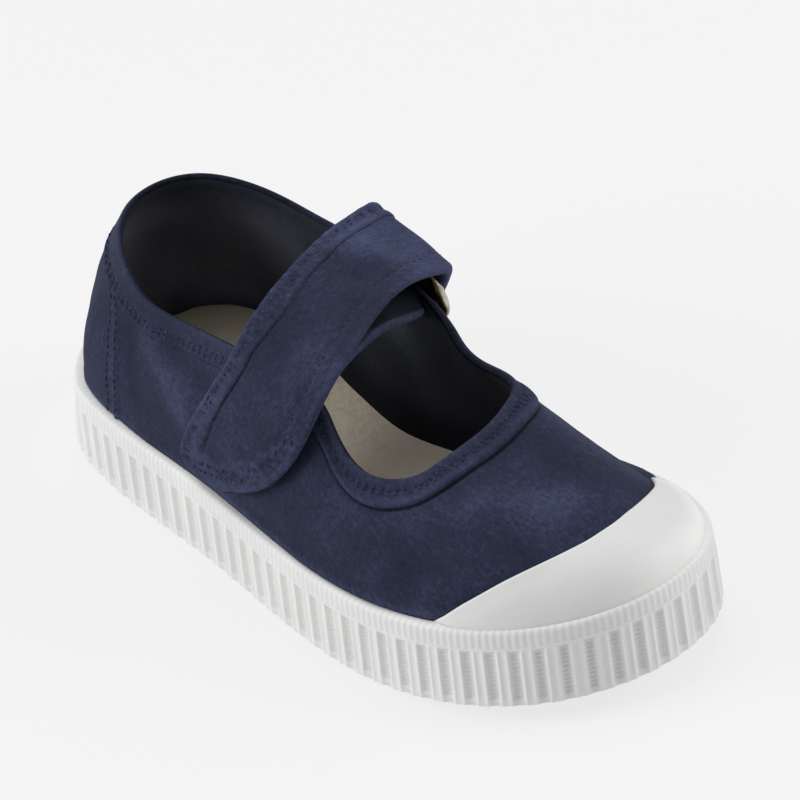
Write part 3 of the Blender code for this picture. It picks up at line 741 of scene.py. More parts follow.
def upper_canvas():
    near, far, offset, lift = wall_rows().T[:, :, None]
    shares = np.linspace(0.0, 1.0, UPPER_COLUMNS + 1)[None, :]
    runs = near + far * (foxing_run(shares) - BAND_ROWS)
    points, rising, normal = face_frame(shares, runs)
    relief, wear_and_shade, seam = canvas_relief(shares, runs, points)
    outer = 1.0 + offset / UPPER_WALL
    relief = np.where((offset < -RIM) & (outer > 0.4), 0.0, relief * np.clip(outer, 0.0, 1.0))
    # Painted shade: the canvas's inner face, inside the shoe, is darker.
    wear_and_shade = wear_and_shade - 0.34 * ease(0.15, 0.8, -offset)
    points = points + normal * (offset + relief)[..., None] + rising * lift[..., None]
    loop_piece("Upper_Canvas", points, wear_and_shade, CANVAS, ["upper"], seam)


upper_canvas()

# %% [markdown]
# ### Lining
#
# Inside, a dark cotton lining runs from just under the folded edge down to the insole.
# It could share the canvas's own wall, but as its own thin shell it gets its own cloth.

# %% Lining
LINING_LIP = [
    # run down from the topline, offset from the canvas's face
    (3.0, -1.05), (2.2, -1.10), (1.1, -1.17), (0.8, -1.36), (1.1, -1.52), (3.2, -1.70),
]


def upper_lining():
    rows = [(near, 0.0, offset) for near, offset in LINING_LIP]
    rows += [(BAND_ROWS, far, -2.0) for far in np.linspace(0.0, 1.0, 24)]
    rows += [(BAND_ROWS + 5.0, 1.0, -2.0), (BAND_ROWS + 5.0, 1.0, -1.2)]
    rows += [(BAND_ROWS, far, -1.2) for far in (1.0, 0.5, 0.0)]
    near, far, offset = np.array(rows + rows[:1]).T[:, :, None]
    shares = np.linspace(0.0, 1.0, 321)[None, :]
    runs = near + far * (foxing_run(shares) - BAND_ROWS)
    points, _, normal = face_frame(shares, runs)
    waist = ease(0.690, 0.725, shares) * (1 - ease(0.84, 0.89, shares))
    waist = waist + 0.6 * hump(shares, 0.975, 0.018)
    loose = ripples(points, 18.0, 11) * 0.26 * ease(6.0, 12.0, runs)
    loose -= 2.3 * waist * (1 - ease(-4.0, 6.0, foxing_run(shares) - runs))
    loose *= offset < -1.5
    at_heel = 1 - ease(0.06, 0.19, np.minimum(shares, 1.0 - shares))
    # Painted light: the lining is paler towards the heel, deep inside. Painted shade: it is darker
    # in its folds, darkest where it is pushed in over the insole's edge.
    wear_and_shade = loose * 0.3 + 0.50 * at_heel * ease(2.0, 14.0, runs)
    points = points + normal * (offset + loose)[..., None]
    loop_piece("Upper_Lining", points, wear_and_shade, LINING)


upper_lining()

# %% [markdown]
# ## Sheets with a turned edge
#
# Strap, tab, toe cap and insole are all thick sheets whose edge is rounded over. One
# helper makes them: the middle of the sheet is a grid of points, and its thickness
# falls away in a quarter circle towards the outline.

# %% A thick sheet with a rounded outline
def refine(rows, at):
    """Rows read between their numbers, through a smooth curve."""
    last = len(rows) - 1
    i = np.clip(np.floor(at).astype(int), 0, last - 1)
    t = (at - i).reshape(-1, *([1] * (rows.ndim - 1)))
    before, here = rows[np.maximum(i - 1, 0)], rows[i]
    there, beyond = rows[i + 1], rows[np.minimum(i + 2, last)]
    return 0.5 * (2 * here + (there - before) * t
                  + (2 * before - 5 * here + 4 * there - beyond) * t ** 2
                  + (3 * here - before - 3 * there + beyond) * t ** 3)


def refine_both(grid, along, across):
    """A grid read between its rows and between its columns."""
    grid = refine(grid, along).transpose(1, 0, 2)
    return refine(grid, across).transpose(1, 0, 2)


def from_rim(grid):
    """Each corner's distance from the grid's outline."""
    rim = np.concatenate([grid[0], grid[1:-1, -1], grid[-1, ::-1], grid[-2:0:-1, 0]])
    return np.array([np.linalg.norm(row[:, None] - rim[None], axis=2).min(axis=1)
                     for row in grid])


def sheet_normals(grid):
    """Directions square to a grid."""
    return unit(np.cross(np.gradient(grid, axis=0), np.gradient(grid, axis=1)))


def sheet_piece(name, grid, half, turn, material, nodes, relief=0.0, wear_and_shade=0.0, seam=None):
    """A piece from a closed sheet around a grid: half its thickness, turned edge, relief."""
    inside = from_rim(grid)
    body = half * np.sqrt(1 - (1 - np.clip(inside / turn, 0.0, 1.0)) ** 2)
    normal, flat = sheet_normals(grid), flat_map(grid)
    wear_and_shade = np.broadcast_to(wear_and_shade, inside.shape)
    top = body + relief * ease(0.0, turn, inside)
    maker = start_piece()
    lay_grid(maker, grid + normal * top[..., None], wear_and_shade, seam, flat)
    lay_grid(maker, grid - normal * body[..., None], wear_and_shade, None, flat)
    finish_piece(name, maker, material, nodes)

# %% [markdown]
# ## Toe cap
#
# A smooth rubber cap over the toe, 1 mm thick, cemented over the canvas and running
# down behind the foxing. Its rear edge is a plain arch. It could be cut from a copy of
# the upper; read from the upper's own face it follows every size that is changed.

# %% Toe cap
CAP_EDGE = [
    # share, and height of the cap's rear edge on the upper's face
    (0.368, 0.120), (0.376, 0.165), (0.384, 0.235), (0.391, 0.294), (0.397, 0.340),
    (0.410, 0.407), (0.422, 0.457), (0.435, 0.492), (0.449, 0.517), (0.465, 0.535),
    (0.490, 0.548), (0.515, 0.545), (0.535, 0.530), (0.552, 0.513), (0.566, 0.493),
    (0.580, 0.473), (0.592, 0.449), (0.602, 0.416), (0.613, 0.350), (0.624, 0.130),
]
CAP_FOOT = 0.10             # height at which the cap leaves its straight foot
CAP_BULGE = 1.5             # how far the cap swells out just above the foxing


def cap_skin(shares, heights, distance):
    """The upper's face moved outwards by distance, and by the cap's swelling above the foxing."""
    small = 0.002
    along = upper_face(shares + small, heights) - upper_face(shares - small, heights)
    low, high = np.clip(heights - small, 0, 1), np.clip(heights + small, 0, 1)
    rising = upper_face(shares, high) - upper_face(shares, low)
    points = upper_face(shares, heights)
    above = points[..., 2] - toe_lift(points[..., 0]) - FOXING_HEIGHT
    far_side = ease(0.520, 0.575, shares)
    swell = CAP_BULGE * ease(-1.4, -0.3, above) * (1.0 - ease(0.3, 10.0 - 7.0 * far_side, above))
    swell *= (1.0 - 0.5 * far_side) * ease(CAP_SHARES[0], 0.395, shares)
    swell *= 1.0 - ease(0.600, CAP_SHARES[1], shares)
    return points + unit(np.cross(along, rising)) * (distance + swell)[..., None]


def cap_top(shares):
    """Height of the cap's rear edge, eased between the places of the table."""
    share, height = np.array(CAP_EDGE).T
    spread = np.linspace(-0.005, 0.005, 11)
    return np.interp(shares[:, None] + spread, share, height).mean(axis=1)


def toe_cap():
    first, last = CAP_SHARES
    shares = first + (last - first) * (1 - np.cos(np.linspace(0, math.pi, 181))) / 2
    top = cap_top(shares)
    steps = 1 - (1 - np.linspace(0.0, 1.0, 73)) ** 1.3
    heights = CAP_FOOT + (top - CAP_FOOT) * steps[:, None]
    near_edge = 1 - ease(0.0, 0.14, top - heights)
    grid = cap_skin(shares, heights, GAP + CAP_WALL / 2 - 0.35 * near_edge)
    # The cap is paler low down; the extra paleness towards its inner side is painted light.
    painted_light_inner_side = ease(0.46, 0.54, shares)
    wear_and_shade = 0.22 + (0.17 + 0.20 * painted_light_inner_side) * (1 - ease(0.2, 0.42, heights))
    sheet_piece("Toe_Cap_Rubber", grid, CAP_WALL / 2, 0.6, RUBBER, ["toe_cap"],
                wear_and_shade=wear_and_shade)


toe_cap()

# %% [markdown]
# ## Foxing
#
# A rubber strip is wrapped once round the sole. Its lower part has broad upright ribs
# with sharp, slightly raised edges, and cross lines at the bottom of the grooves; a
# narrow strip on top is ribbed about three times as fine. One rib could be repeated
# with an Array on a curve, but one section carried along the sole's edge stays one
# closed skin.

# %% Coarse ribs
RIB_MARKS = [
    # place in the pitch, depth below the crest
    (0.00, 0.12), (0.03, -0.05), (0.07, -0.10), (0.11, -0.04), (0.16, 0.09), (0.26, 0.12),
    (0.36, 0.09), (0.41, -0.04), (0.45, -0.10), (0.49, -0.05), (0.53, 0.14), (0.58, 0.38),
    (0.65, 0.56), (0.76, 0.62), (0.87, 0.56), (0.94, 0.38),
]
RIB_FOOT = 0.48             # share of the groove's depth left at the sole's bottom edge
CROSS_PITCH = 1.05          # cross lines at the bottom of the grooves


def foxing_ribs():
    places, depths = np.array(RIB_MARKS).T
    shares = np.append((np.arange(RIB_COUNT)[:, None] + places).ravel() / RIB_COUNT, 1.0)
    depth = np.append(np.tile(depths, RIB_COUNT), depths[0])
    wall = foxing_at(shares)[1]
    in_groove = np.clip(depth / max(depths), 0.0, 1.0) ** 1.5
    band = FOXING_HEIGHT - FOXING_BAND
    # The third value of each row is the rubber's tone, greyer in the grooves as painted shade.
    rows = [(0.0, wall, 0.45 - 0.2 * in_groove)]
    for z, inset in ((0.0, 0.35), (0.12, 0.12), (0.45, 0.0), (FOXING_EDGE - 0.3, 0.0)):
        rows.append((z, inset + RIB_FOOT * depth, 0.45 - 0.2 * in_groove))
    for z in np.linspace(FOXING_EDGE, band, 53):
        low, high = ease(FOXING_EDGE - 0.3, FOXING_EDGE + 0.8, z), 1 - ease(band - 1.3, band, z)
        full = (RIB_FOOT + (1 - RIB_FOOT) * low) * high
        cross = 0.10 * math.cos(2 * math.pi * z / CROSS_PITCH) * in_groove * low * high
        rows.append((z, depth * full + cross, 0.45 - 0.24 * in_groove * full))
    top = band + 0.25
    for z, inset in ((band + 0.1, 0.2), (top, 0.5), (top, wall), (0.0, wall)):
        rows.append((z, inset, 0.2))
    points = np.array([side_point(shares, inset, z) for z, inset, wear_and_shade in rows])
    wear_and_shade = np.array([np.broadcast_to(wear_and_shade, shares.shape) for z, inset, wear_and_shade in rows])
    loop_piece("Foxing_Ribs", points, wear_and_shade, RUBBER, ["foxing"], smooth=40.0)


foxing_ribs()

# %% Finely ribbed strip
FINE_COUNT = 266
FINE_DEPTH = 0.14
STRIP_ROWS = [
    # height from the foxing's top, depth behind the crests, share of the fine ribs' depth
    (-4.8, 0.06, 0.0), (-4.15, 0.06, 0.7), (-3.8, 0.06, 1.0), (-2.2, 0.06, 1.0),
    (-1.1, 0.10, 1.0), (-0.6, 0.24, 1.0), (-0.25, 0.51, 1.0), (-0.05, 0.91, 0.9),
]


def foxing_strip():
    shares = np.linspace(0.0, 1.0, FINE_COUNT * 5 + 1)
    wall = foxing_at(shares)[1]
    wave = 0.5 - 0.5 * np.cos(2 * math.pi * shares * FINE_COUNT)
    foot = STRIP_ROWS[0][0]
    rows = [(foot, wall, 0.0), *STRIP_ROWS, (0.0, wall - 0.25, 0.5), (0.0, wall, 0.0),
            (foot, wall, 0.0)]
    points = np.array([side_point(shares, inset + FINE_DEPTH * wave * share, FOXING_HEIGHT + z)
                       for z, inset, share in rows])
    # Greyer in the fine grooves: painted shade.
    wear_and_shade = np.array([0.45 - 0.14 * wave * share for z, inset, share in rows])
    loop_piece("Foxing_Strip", points, wear_and_shade, RUBBER)


foxing_strip()

# %% Outsole
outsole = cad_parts["outsole"]
outsole.data.materials.clear()
outsole.data.materials.append(RUBBER)
print("outsole keeps its own solid, with the rubber on it")

# %% [markdown]
# ## Insole
#
# A foam insole under beige cotton. It is a little cupped along its edge. The outsole's
# top could be copied, but a grid between the two sides keeps the twill even.

# %% Insole
def insole_cover():
    rim_shares = np.linspace(0.0, 1.0, 2400, endpoint=False)
    lean, wall = foxing_at(rim_shares)
    inset = wall + (CAP_WALL + GAP) * under_cap(rim_shares) + UPPER_WALL + 2.5 * GAP
    top = SOLE_TOP + INSOLE_THICK
    rim = edge_inset(rim_shares, lean * top / FOXING_HEIGHT + inset)
    rim = np.roll(rim, -int(np.argmin(rim[:, 0])), axis=0)
    toe = int(np.argmax(rim[:, 0]))
    xs = rim[0, 0] + (rim[toe, 0] - rim[0, 0]) * (1 - np.cos(np.linspace(0, math.pi, 141))) / 2
    outer, inner = [np.interp(xs, side[:, 0], side[:, 1])
                    for side in (rim[:toe + 1], np.vstack([rim[:1], rim[:toe - 1:-1]]))]
    across = (1 - np.cos(np.linspace(0, math.pi, 49))) / 2
    y = outer[:, None] + (inner - outer)[:, None] * across
    x = np.broadcast_to(xs[:, None], y.shape)
    grid = np.stack([x, y, SOLE_TOP + INSOLE_THICK / 2 + toe_lift(x)], axis=-1)
    cup = (1 - ease(0.0, 9.0, from_rim(grid))) * (1.4 - 1.1 * ease(60.0, 85.0, x))
    # The cover's tone is darker towards the heel: painted shade deep inside the shoe.
    sheet_piece("Insole_Cover", grid, INSOLE_THICK / 2, 1.0, INSOLE_COVER,
                ["insole"], cup + ripples(grid, 24.0, 21) * 0.12,
                0.23 - 0.65 * (1 - ease(30.0, 75.0, x)))


insole_cover()

# %% [markdown]
# ## Strap
#
# The strap is two layers of canvas, 2 mm thick, sewn into the outer side of the shoe.
# It crosses the instep, turns round the ring's upper wire and comes back over itself
# to a rounded tip that holds with hook-and-loop. A hem about 5.6 mm wide runs down its
# rear edge and round the tip. A soft strap could be simulated, but its path is known, so it
# is laid along listed rows and given its puckers and its soft swelling at the turn.

# %% Strap tables
RING_CORNERS = [
    # x     y     z
    (62.8, 22.6, 57.5), (85.9, 22.0, 52.7), (88.5, 23.3, 41.1), (62.8, 24.2, 47.0),
]
FOLD_LINE = [(62.8, 22.6, 57.5), (87.2, 22.0, 53.5)]
RING_TURN = 5.2             # how far from each corner its bend starts
RING_GRIP = 0.3             # clearance between the strap's fold and the wire
ROOT_ROWS = [
    # rear x   z   off    front x   z   off the wall
    (74.0, 42.0, 1.4, 97.0, 42.0, 1.4),
    (77.0, 48.0, 1.5, 100.0, 47.0, 1.5),
    (79.0, 52.5, 2.2, 101.5, 51.0, 2.2),
]
LOWER_SPAN = [
    # rear x   y      z     front x   y      z
    (79.0, -20.0, 55.9, 102.5, -19.2, 55.2),
    (76.5, -13.0, 56.8, 100.5, -12.5, 56.8),
    (73.5, -6.0, 57.0, 99.0, -5.0, 57.1),
    (70.5, 1.0, 57.0, 97.5, 1.5, 56.1),
    (67.5, 8.0, 56.9, 93.6, 8.2, 51.6),
    (65.6, 15.0, 55.9, 88.6, 15.6, 45.8),
]
FOLD_REAR_X = (64.6, 64.4, 64.6)        # under, beside and over the wire
FOLD_FRONT_X = (84.4, 87.2, 90.6)
FOLD_DROOP = 8.4            # the strap's front edge hangs lower inside the ring
UPPER_SPAN = [
    # rear x   y      z     front x   y      z
    (65.2, 16.0, 60.0, 91.2, 18.4, 57.0),
    (66.9, 8.0, 60.0, 91.6, 12.5, 58.8),
    (69.2, 0.5, 59.8, 93.0, 7.0, 59.3),
    (71.8, -7.0, 59.6, 96.2, -1.0, 59.6),
    (74.6, -13.5, 59.2, 100.0, -8.0, 59.5),
    (76.9, -19.5, 58.5, 103.4, -15.2, 58.9),
    (78.1, -23.4, 56.0, 105.0, -21.2, 56.6),
]
TIP_ROWS = [
    # rear x   z   off    front x   z   off the wall
    (76.4, 52.5, 4.0, 104.2, 53.0, 3.0),
    (73.2, 48.0, 4.0, 102.3, 49.0, 3.6),
    (70.2, 42.0, 3.8, 100.8, 45.0, 3.9),
    (66.2, 35.3, 3.2, 99.8, 42.0, 3.6),
    (63.4, 30.3, 2.6, 98.4, 39.0, 3.0),
    (62.3, 26.8, 2.1, 96.3, 35.4, 2.4),
    (63.4, 24.2, 1.8, 92.5, 30.9, 2.0),
    (66.5, 22.9, 1.7, 85.8, 26.6, 1.7),
    (71.0, 22.7, 1.6, 78.0, 23.8, 1.6),
]

# %% Path of the strap
WALL_FACES = {side: upper_face(np.linspace(first, last, 80)[:, None], np.linspace(HIDDEN, 1, 40))
              for side, first, last in (("outer", 0.10, 0.36), ("inner", 0.64, 0.93))}


def wall_y(x, z, side):
    """The upper's outer face at this x and z, on its outer or inner side."""
    rows = np.array([read_line(column[:, :2], column[:, 2], z) for column in WALL_FACES[side]])
    rows = rows[np.argsort(rows[:, 0])]
    return float(np.interp(x, rows[:, 0], rows[:, 1]))


def strap_rows(columns=9):
    """Middle of the strap, row by row from its root to its tip."""
    across = np.linspace(0.0, 1.0, columns)[:, None]

    def spans(table):
        """Rows straight across from the rear edge to the front edge."""
        table = np.array(table)[:, None]
        return table[..., :3] + (table[..., 3:] - table[..., :3]) * across

    def on_wall(table):
        """Rows that follow the upper, at a distance off its face."""
        return np.array([[(x, wall_y(x, z, "outer") - off, z) for x, z, off in row]
                         for row in spans(table)])

    rear_wire, front_wire = np.array(FOLD_LINE)
    radius = RING_WIRE + RING_GRIP + STRAP_THICK / 2
    fold = []
    for angle in np.radians(np.linspace(-90.0, 90.0, 7)):
        turn = math.sin(angle)
        rear, front = [np.interp(turn, (-1, 0, 1), x) for x in (FOLD_REAR_X, FOLD_FRONT_X)]
        x = rear + (front - rear) * across
        on_wire = rear_wire + (front_wire - rear_wire) * (x - rear_wire[0]) / (
            front_wire[0] - rear_wire[0])
        droop = FOLD_DROOP * across ** 3 * (1 - turn) / 2
        fold.append(on_wire + np.array([0.0, math.cos(angle), turn]) * radius
                    - droop * np.array([0.0, 0.0, 1.0]))
    rows = np.concatenate([on_wall(ROOT_ROWS), spans(LOWER_SPAN), fold, spans(UPPER_SPAN),
                           on_wall(TIP_ROWS)])
    eased = rows.copy()
    eased[1:-1] = (rows[:-2] + 2 * rows[1:-1] + rows[2:]) / 4
    first = len(ROOT_ROWS) + len(LOWER_SPAN)
    eased[first:first + len(fold)] = fold
    return eased, first + len(fold) // 2


def strap_grid():
    """The same path on a close grid, finer across its edges, and the run at its turn."""
    rows, turn = strap_rows()
    run = runs_along(rows[:, 4])
    along = np.interp(np.linspace(0.0, run[-1], 381), run, np.arange(len(rows)))
    even = np.linspace(0.0, 1.0, 91)
    across = ((1 - np.cos(math.pi * even)) / 2 + 2 * even) / 3 * (rows.shape[1] - 1)
    return refine_both(rows, along, across), run[turn]


STRAP_GRID, TURN_RUN = strap_grid()
STRAP_RUN = runs_along(STRAP_GRID[:, 45])
print(f"strap {STRAP_RUN[-1]:.0f} mm long, turned back at {TURN_RUN:.0f} mm")

# %% Hem and creases of the strap
FRONT_FOLD = 5.6            # the lower layer's front edge is turned in by this much
HEM_WIDTHS = [
    # mm past the turn, width of the hem there
    (0.0, 5.7), (10.0, 5.7), (18.0, 5.4), (28.0, 5.8), (37.0, 6.5), (46.0, 6.1),
    (52.0, 5.1), (60.0, 4.8), (68.0, 5.3), (78.0, 6.6), (85.0, 7.6), (91.0, 8.6),
]
FRONT_ROW = 4.8             # the stitch row along the front edge
TIP_HEM = 12.0              # the hem runs round the tip and this far up the front edge
TURN_SWELL = 0.8            # the cloth swells where it turns round the ring
STRAP_CREASES = [
    # x0    y0    z0    x1    y1     z1    width height
    (76.3, 13.1, 60.0, 84.5, 15.3, 59.0, 2.4, 0.55),
    (74.0, 6.0, 60.5, 84.0, 4.0, 60.5, 3.5, -0.35),
    (88.0, 6.0, 60.5, 96.0, -6.0, 60.5, 3.0, 0.30),
    (84.0, -22.0, 48.0, 80.0, -28.0, 34.0, 3.0, 0.35),
]

# %% Distance from the strap's edges
NEARBY = 20.0               # the nearest edge is sought within this run of a row


def strap_edges(grid):
    """Distance of each corner from the rear edge and tip, and from the front edge."""
    turned = int(np.searchsorted(STRAP_RUN, STRAP_RUN[-1] - TIP_HEM))
    rear = np.concatenate([grid[:, 0], grid[-1], grid[:turned:-1, -1]])
    rear_run = np.concatenate([STRAP_RUN, np.full(grid.shape[1], STRAP_RUN[-1]),
                               STRAP_RUN[:turned:-1]])
    away = []
    for line, run in ((rear, rear_run), (grid[:turned, -1], STRAP_RUN[:turned])):
        at = np.linspace(0.0, len(line) - 1.0, 3 * len(line))
        close, close_run = refine(line, at), np.interp(at, np.arange(len(run)), run)
        rows = [np.linalg.norm(row[:, None] - close[np.abs(close_run - here) < NEARBY], axis=2)
                for row, here in zip(grid, STRAP_RUN)]
        away.append(np.array([row.min(axis=1) for row in rows]))
    return away


def hem_width(run):
    """Width of the strap's hem at this distance along the strap."""
    past, width = np.array(HEM_WIDTHS).T
    return np.interp(run - TURN_RUN, past, width)

# %% Strap canvas
def strap_relief(grid):
    """Relief of the strap's outer face, its wear with painted light and shade, and its seam lines.
    """
    from_rear, from_front = strap_edges(grid)
    outer = ease(TURN_RUN - 6.0, TURN_RUN - 1.0, STRAP_RUN)[:, None]
    at_turn = hump(STRAP_RUN, TURN_RUN, 5.0)[:, None]
    across = np.linspace(0.0, 1.0, grid.shape[1])[None, :]
    soft_end = ease(0.25, 0.45, across)
    width = hem_width(STRAP_RUN)[:, None]
    hem = (0.55 - 0.35 * at_turn) * (1 - 0.6 * soft_end)
    hem = hem * (1 - ease(width - 0.3 - soft_end, width + 0.3 + soft_end, from_rear))
    pucker = 1.0 + 0.6 * np.cos(2.9 * STRAP_RUN + 1.6 * np.sin(0.7 * STRAP_RUN))[:, None]
    seams = -0.32 * pucker * hump(from_rear, 0.46 * width, 1.0)
    seams -= 0.24 * pucker * hump(from_front, FRONT_ROW, 0.8) * (1 - at_turn)
    crumple = ripples(grid, 2.6, 37) * (1 - ease(-1.0, 1.0, from_rear - width)) * outer
    soft = ripples(grid, 20.0, 31) * 0.18 + ripples(grid, 7.0, 33) * 0.08
    relief = outer * hem + seams + soft + 0.12 * crumple + TURN_SWELL * at_turn
    creases = outer * crease_height(grid, STRAP_CREASES)
    relief += creases
    # Creases and crumples: paler ridges and darker troughs, partly dye wear and partly painted
    # light and shade.
    wear_and_shade = 0.14 * hump(from_rear, 0.0, 1.2) + 0.12 * hump(from_front, 0.0, 1.2) + 0.2 * creases
    wear_and_shade += outer * 0.07 * (1 - ease(width - 0.2, width + 0.4, from_rear)) + 0.3 * soft
    wear_and_shade += 0.06 * crumple
    # Paler after the turn, partly wear at the fold and partly a painted highlight on its upward
    # face; darker further on, painted shade where the strap's top dips.
    wear_and_shade += 0.16 * hump(STRAP_RUN, TURN_RUN + 6.0, 12.0)[:, None]
    wear_and_shade -= 0.07 * hump(STRAP_RUN, TURN_RUN + 36.0, 12.0)[:, None]
    # Painted shade: the lower layer darkens near its front edge before the turn, in the shadowed
    # gap under the upper layer.
    painted_gap_shade = ease(TURN_RUN - 34.0, TURN_RUN - 30.0, STRAP_RUN) * (1 - outer[:, 0])
    wear_and_shade -= 0.60 * painted_gap_shade[:, None] * ease(0.9, 1.6, from_front) * ease(2.0, 3.0, from_rear)
    # The seam value draws the hem's dark line: the fold's own line, with painted shade in its
    # groove.
    fade = 0.10 + soft_end + 0.4 * ease(TURN_RUN + 74.0, TURN_RUN + 88.0, STRAP_RUN)[:, None]
    seam = np.minimum(1.2 * np.abs(from_rear - width - 0.25) + FAR * (1 - outer) + fade,
                      np.abs(from_front - FRONT_FOLD - 0.2) + FAR * outer)
    return relief, wear_and_shade, seam


def strap_canvas():
    relief, wear_and_shade, seam = strap_relief(STRAP_GRID)
    sheet_piece("Strap_Canvas", STRAP_GRID, STRAP_THICK / 2, 1.0, CANVAS,
                ["strap"], relief, wear_and_shade, seam)


strap_canvas()

# %% [markdown]
# ## Ring and its tab
#
# A flat oval wire bent to a rounded rectangle. A folded canvas tab holds its lower
# wire and is sewn down on the inner side of the shoe. A curve with a bevel would give a
# round wire; this one is rounder inside the cloth and broader where it shows.

# %% Ring
def ring_path(turn_steps=10, straight_steps=6):
    """Closed path of the ring's wire, with its corners turned."""
    corners = [np.array(corner) for corner in RING_CORNERS]
    path = []
    for i, corner in enumerate(corners):
        to_last = unit(corners[i - 1] - corner)
        to_next = unit(corners[(i + 1) % 4] - corner)
        start, end = corner + to_last * RING_TURN, corner + to_next * RING_TURN
        for t in np.linspace(0.0, 1.0, turn_steps + 1):
            path.append((1 - t) ** 2 * start + 2 * t * (1 - t) * corner + t * t * end)
        after = corners[(i + 1) % 4] - to_next * RING_TURN
        for t in np.linspace(0.0, 1.0, straight_steps + 1)[1:-1]:
            path.append(end + (after - end) * t)
    return np.array(path)


def ring_metal():
    path = ring_path()
    flat = unit(np.cross(path[12] - path[0], path[28] - path[0]))
    side = np.cross(unit(np.roll(path, -1, axis=0) - np.roll(path, 1, axis=0)), flat)
    path, side = [np.vstack([line, line[:1]]) for line in (path, side)]
    angles = np.linspace(0.0, 2 * math.pi, 17)[:, None]
    upper, lower = np.array(RING_CORNERS[:2]), np.array(RING_CORNERS[3:1:-1])
    gaps = [np.linalg.norm(np.cross(path - a, unit(b - a)), axis=1) for a, b in (upper, lower)]
    wide = 0.82 + 0.40 * ease(1.5, 4.0, gaps[0]) * ease(1.5, 4.0, gaps[1])
    points = path + RING_WIRE * ((wide * np.cos(angles))[..., None] * flat
                                 + np.sin(angles)[..., None] * side)
    # Painted shade and a painted reflection of the dark strap: faces turned towards -y, towards the
    # shoe, get darker brass.
    facing = np.cos(angles) * flat[1] + np.sin(angles) * side[:, 1]
    loop_piece("Ring_Metal", points, 0.55 * ease(0.0, 0.7, -facing), RING_METAL,
               ["ring"])


ring_metal()

# %% Ring tab
TAB_X = (66.0, 85.5)
TAB_THICK = 1.2
TAB_DROP = 7.0              # how far it runs down below the wire


def ring_tab():
    first, last = np.array(RING_CORNERS[3]), np.array(RING_CORNERS[2])
    middle = RING_WIRE + GAP + TAB_THICK / 2
    rows = []
    for x in np.linspace(*TAB_X, 9):
        wire = first + (last - first) * (x - first[0]) / (last[0] - first[0])
        row = []
        for drop in (TAB_DROP, TAB_DROP * 0.75, TAB_DROP / 2):
            z = wire[2] - drop
            row.append((x, wall_y(x, z, "inner") + GAP + TAB_THICK / 2, z))
        row.append((x, wire[1] - middle, wire[2]))
        for angle in np.radians((135.0, 90.0, 45.0, 0.0, -45.0)):
            row.append(wire + np.array([0.0, math.cos(angle), math.sin(angle)]) * middle)
        rows.append(row)
    grid = refine_both(np.array(rows), np.linspace(0.0, 8.0, 49), np.linspace(0.0, 8.0, 65))
    sheet_piece("Ring_Tab_Canvas", grid, TAB_THICK / 2, 0.6, CANVAS,
                ["ring_tab"], ripples(grid, 8.0, 41) * 0.06, 0.12 * hump(from_rim(grid), 0.0, 1.2))


ring_tab()

# %% [markdown]
# ## Stitches
#
# Hundreds of stitches show on the shoe, so each is kept simple: a long grain with a few
# dozen faces. Each row follows a line on the cloth, and the hems are sewn with a
# zigzag, whose stitches lean one way and then the other. Geometry Nodes could scatter
# them along curves; a loop that lays one grain after another is easier to follow.

# %% Sew one row
def sew(maker, points, normals, pitch, length, thick, swing):
    """Lay stitches along a line on the cloth, leaning by swing degrees in turn."""
    run = runs_along(points)
    places = np.arange(pitch / 2, run[-1], pitch)
    middle, ahead, behind = [read_line(points, run, places + step) for step in (0, 0.4, -0.4)]
    normal = unit(read_line(normals, run, places))
    along = unit(ahead - behind)
    side = unit(np.cross(normal, along))
    draw = np.random.default_rng(len(places))
    for n in range(len(places)):
        lean = math.radians((swing if n % 2 else -swing) * draw.uniform(0.6, 1.4))
        grow = draw.uniform(0.75, 1.15)
        way = along[n] * math.cos(lean) + side[n] * math.sin(lean)
        beside = np.cross(normal[n], way)
        columns = [way * grow * length / 2, beside * thick / 2, normal[n] * thick * 0.35, middle[n]]
        matrix = Matrix([[*(column[k] for column in columns)] for k in range(3)] + [[0, 0, 0, 1]])
        bmesh.ops.create_uvsphere(maker, u_segments=6, v_segments=5, radius=1.0, matrix=matrix)
    return len(places)


def on_canvas(shares, runs, out=0.12):
    """Points on the finished canvas, with their normals."""
    points, _, normal = face_frame(shares, runs)
    relief = canvas_relief(shares, runs, points)[0]
    return points + normal * (relief + out)[:, None], normal

# %% Stitches of the upper
THROAT_ROWS = ((2.5, 30.0), (3.5, -30.0))   # run down from the topline, and lean
COLLAR_ROWS = (-0.2, 1.1)                   # how far above the hem's groove
COUNTER_ROWS = (1.0, 4.4)                   # how far behind the counter's front edge


def stitches_upper():
    maker = start_piece()
    count = 0
    throat = np.linspace(0.27, 0.76, 900)
    for run, swing in THROAT_ROWS:
        points, normals = on_canvas(throat, np.full(900, run))
        count += sew(maker, points, normals, 1.9, 1.1, 0.38, swing=swing)
    collar = np.linspace(0.775, 1.26, 900)
    for above in COLLAR_ROWS:
        points, normals = on_canvas(collar, hem_run(collar) - above)
        count += sew(maker, points, normals, 2.0, 1.3, 0.46, swing=26.0)
    runs = np.linspace(7.5, 32.5, 220)
    for inset in COUNTER_ROWS:
        edge = counter_share(runs) - inset / PERIMETER
        for shares in (edge, 1.0 - edge):
            points, normals = on_canvas(shares, runs)
            count += sew(maker, points, normals, 1.8, 1.2, 0.45, swing=18.0)
    print(count, "stitches in the upper")
    finish_piece("Stitches_Upper", maker, THREAD)


stitches_upper()

# %% Stitches of the strap
ZIGZAG = (0.34, 0.58)       # the two rows of the hem's zigzag, as shares of its width
ROUNDING = 12               # times the outline is softened before the rows follow it


def inset_line(outline, normals, inset):
    """A line moved inwards over the cloth from its outline."""
    along = unit(np.gradient(outline, axis=0))
    return outline + np.cross(normals, along) * inset


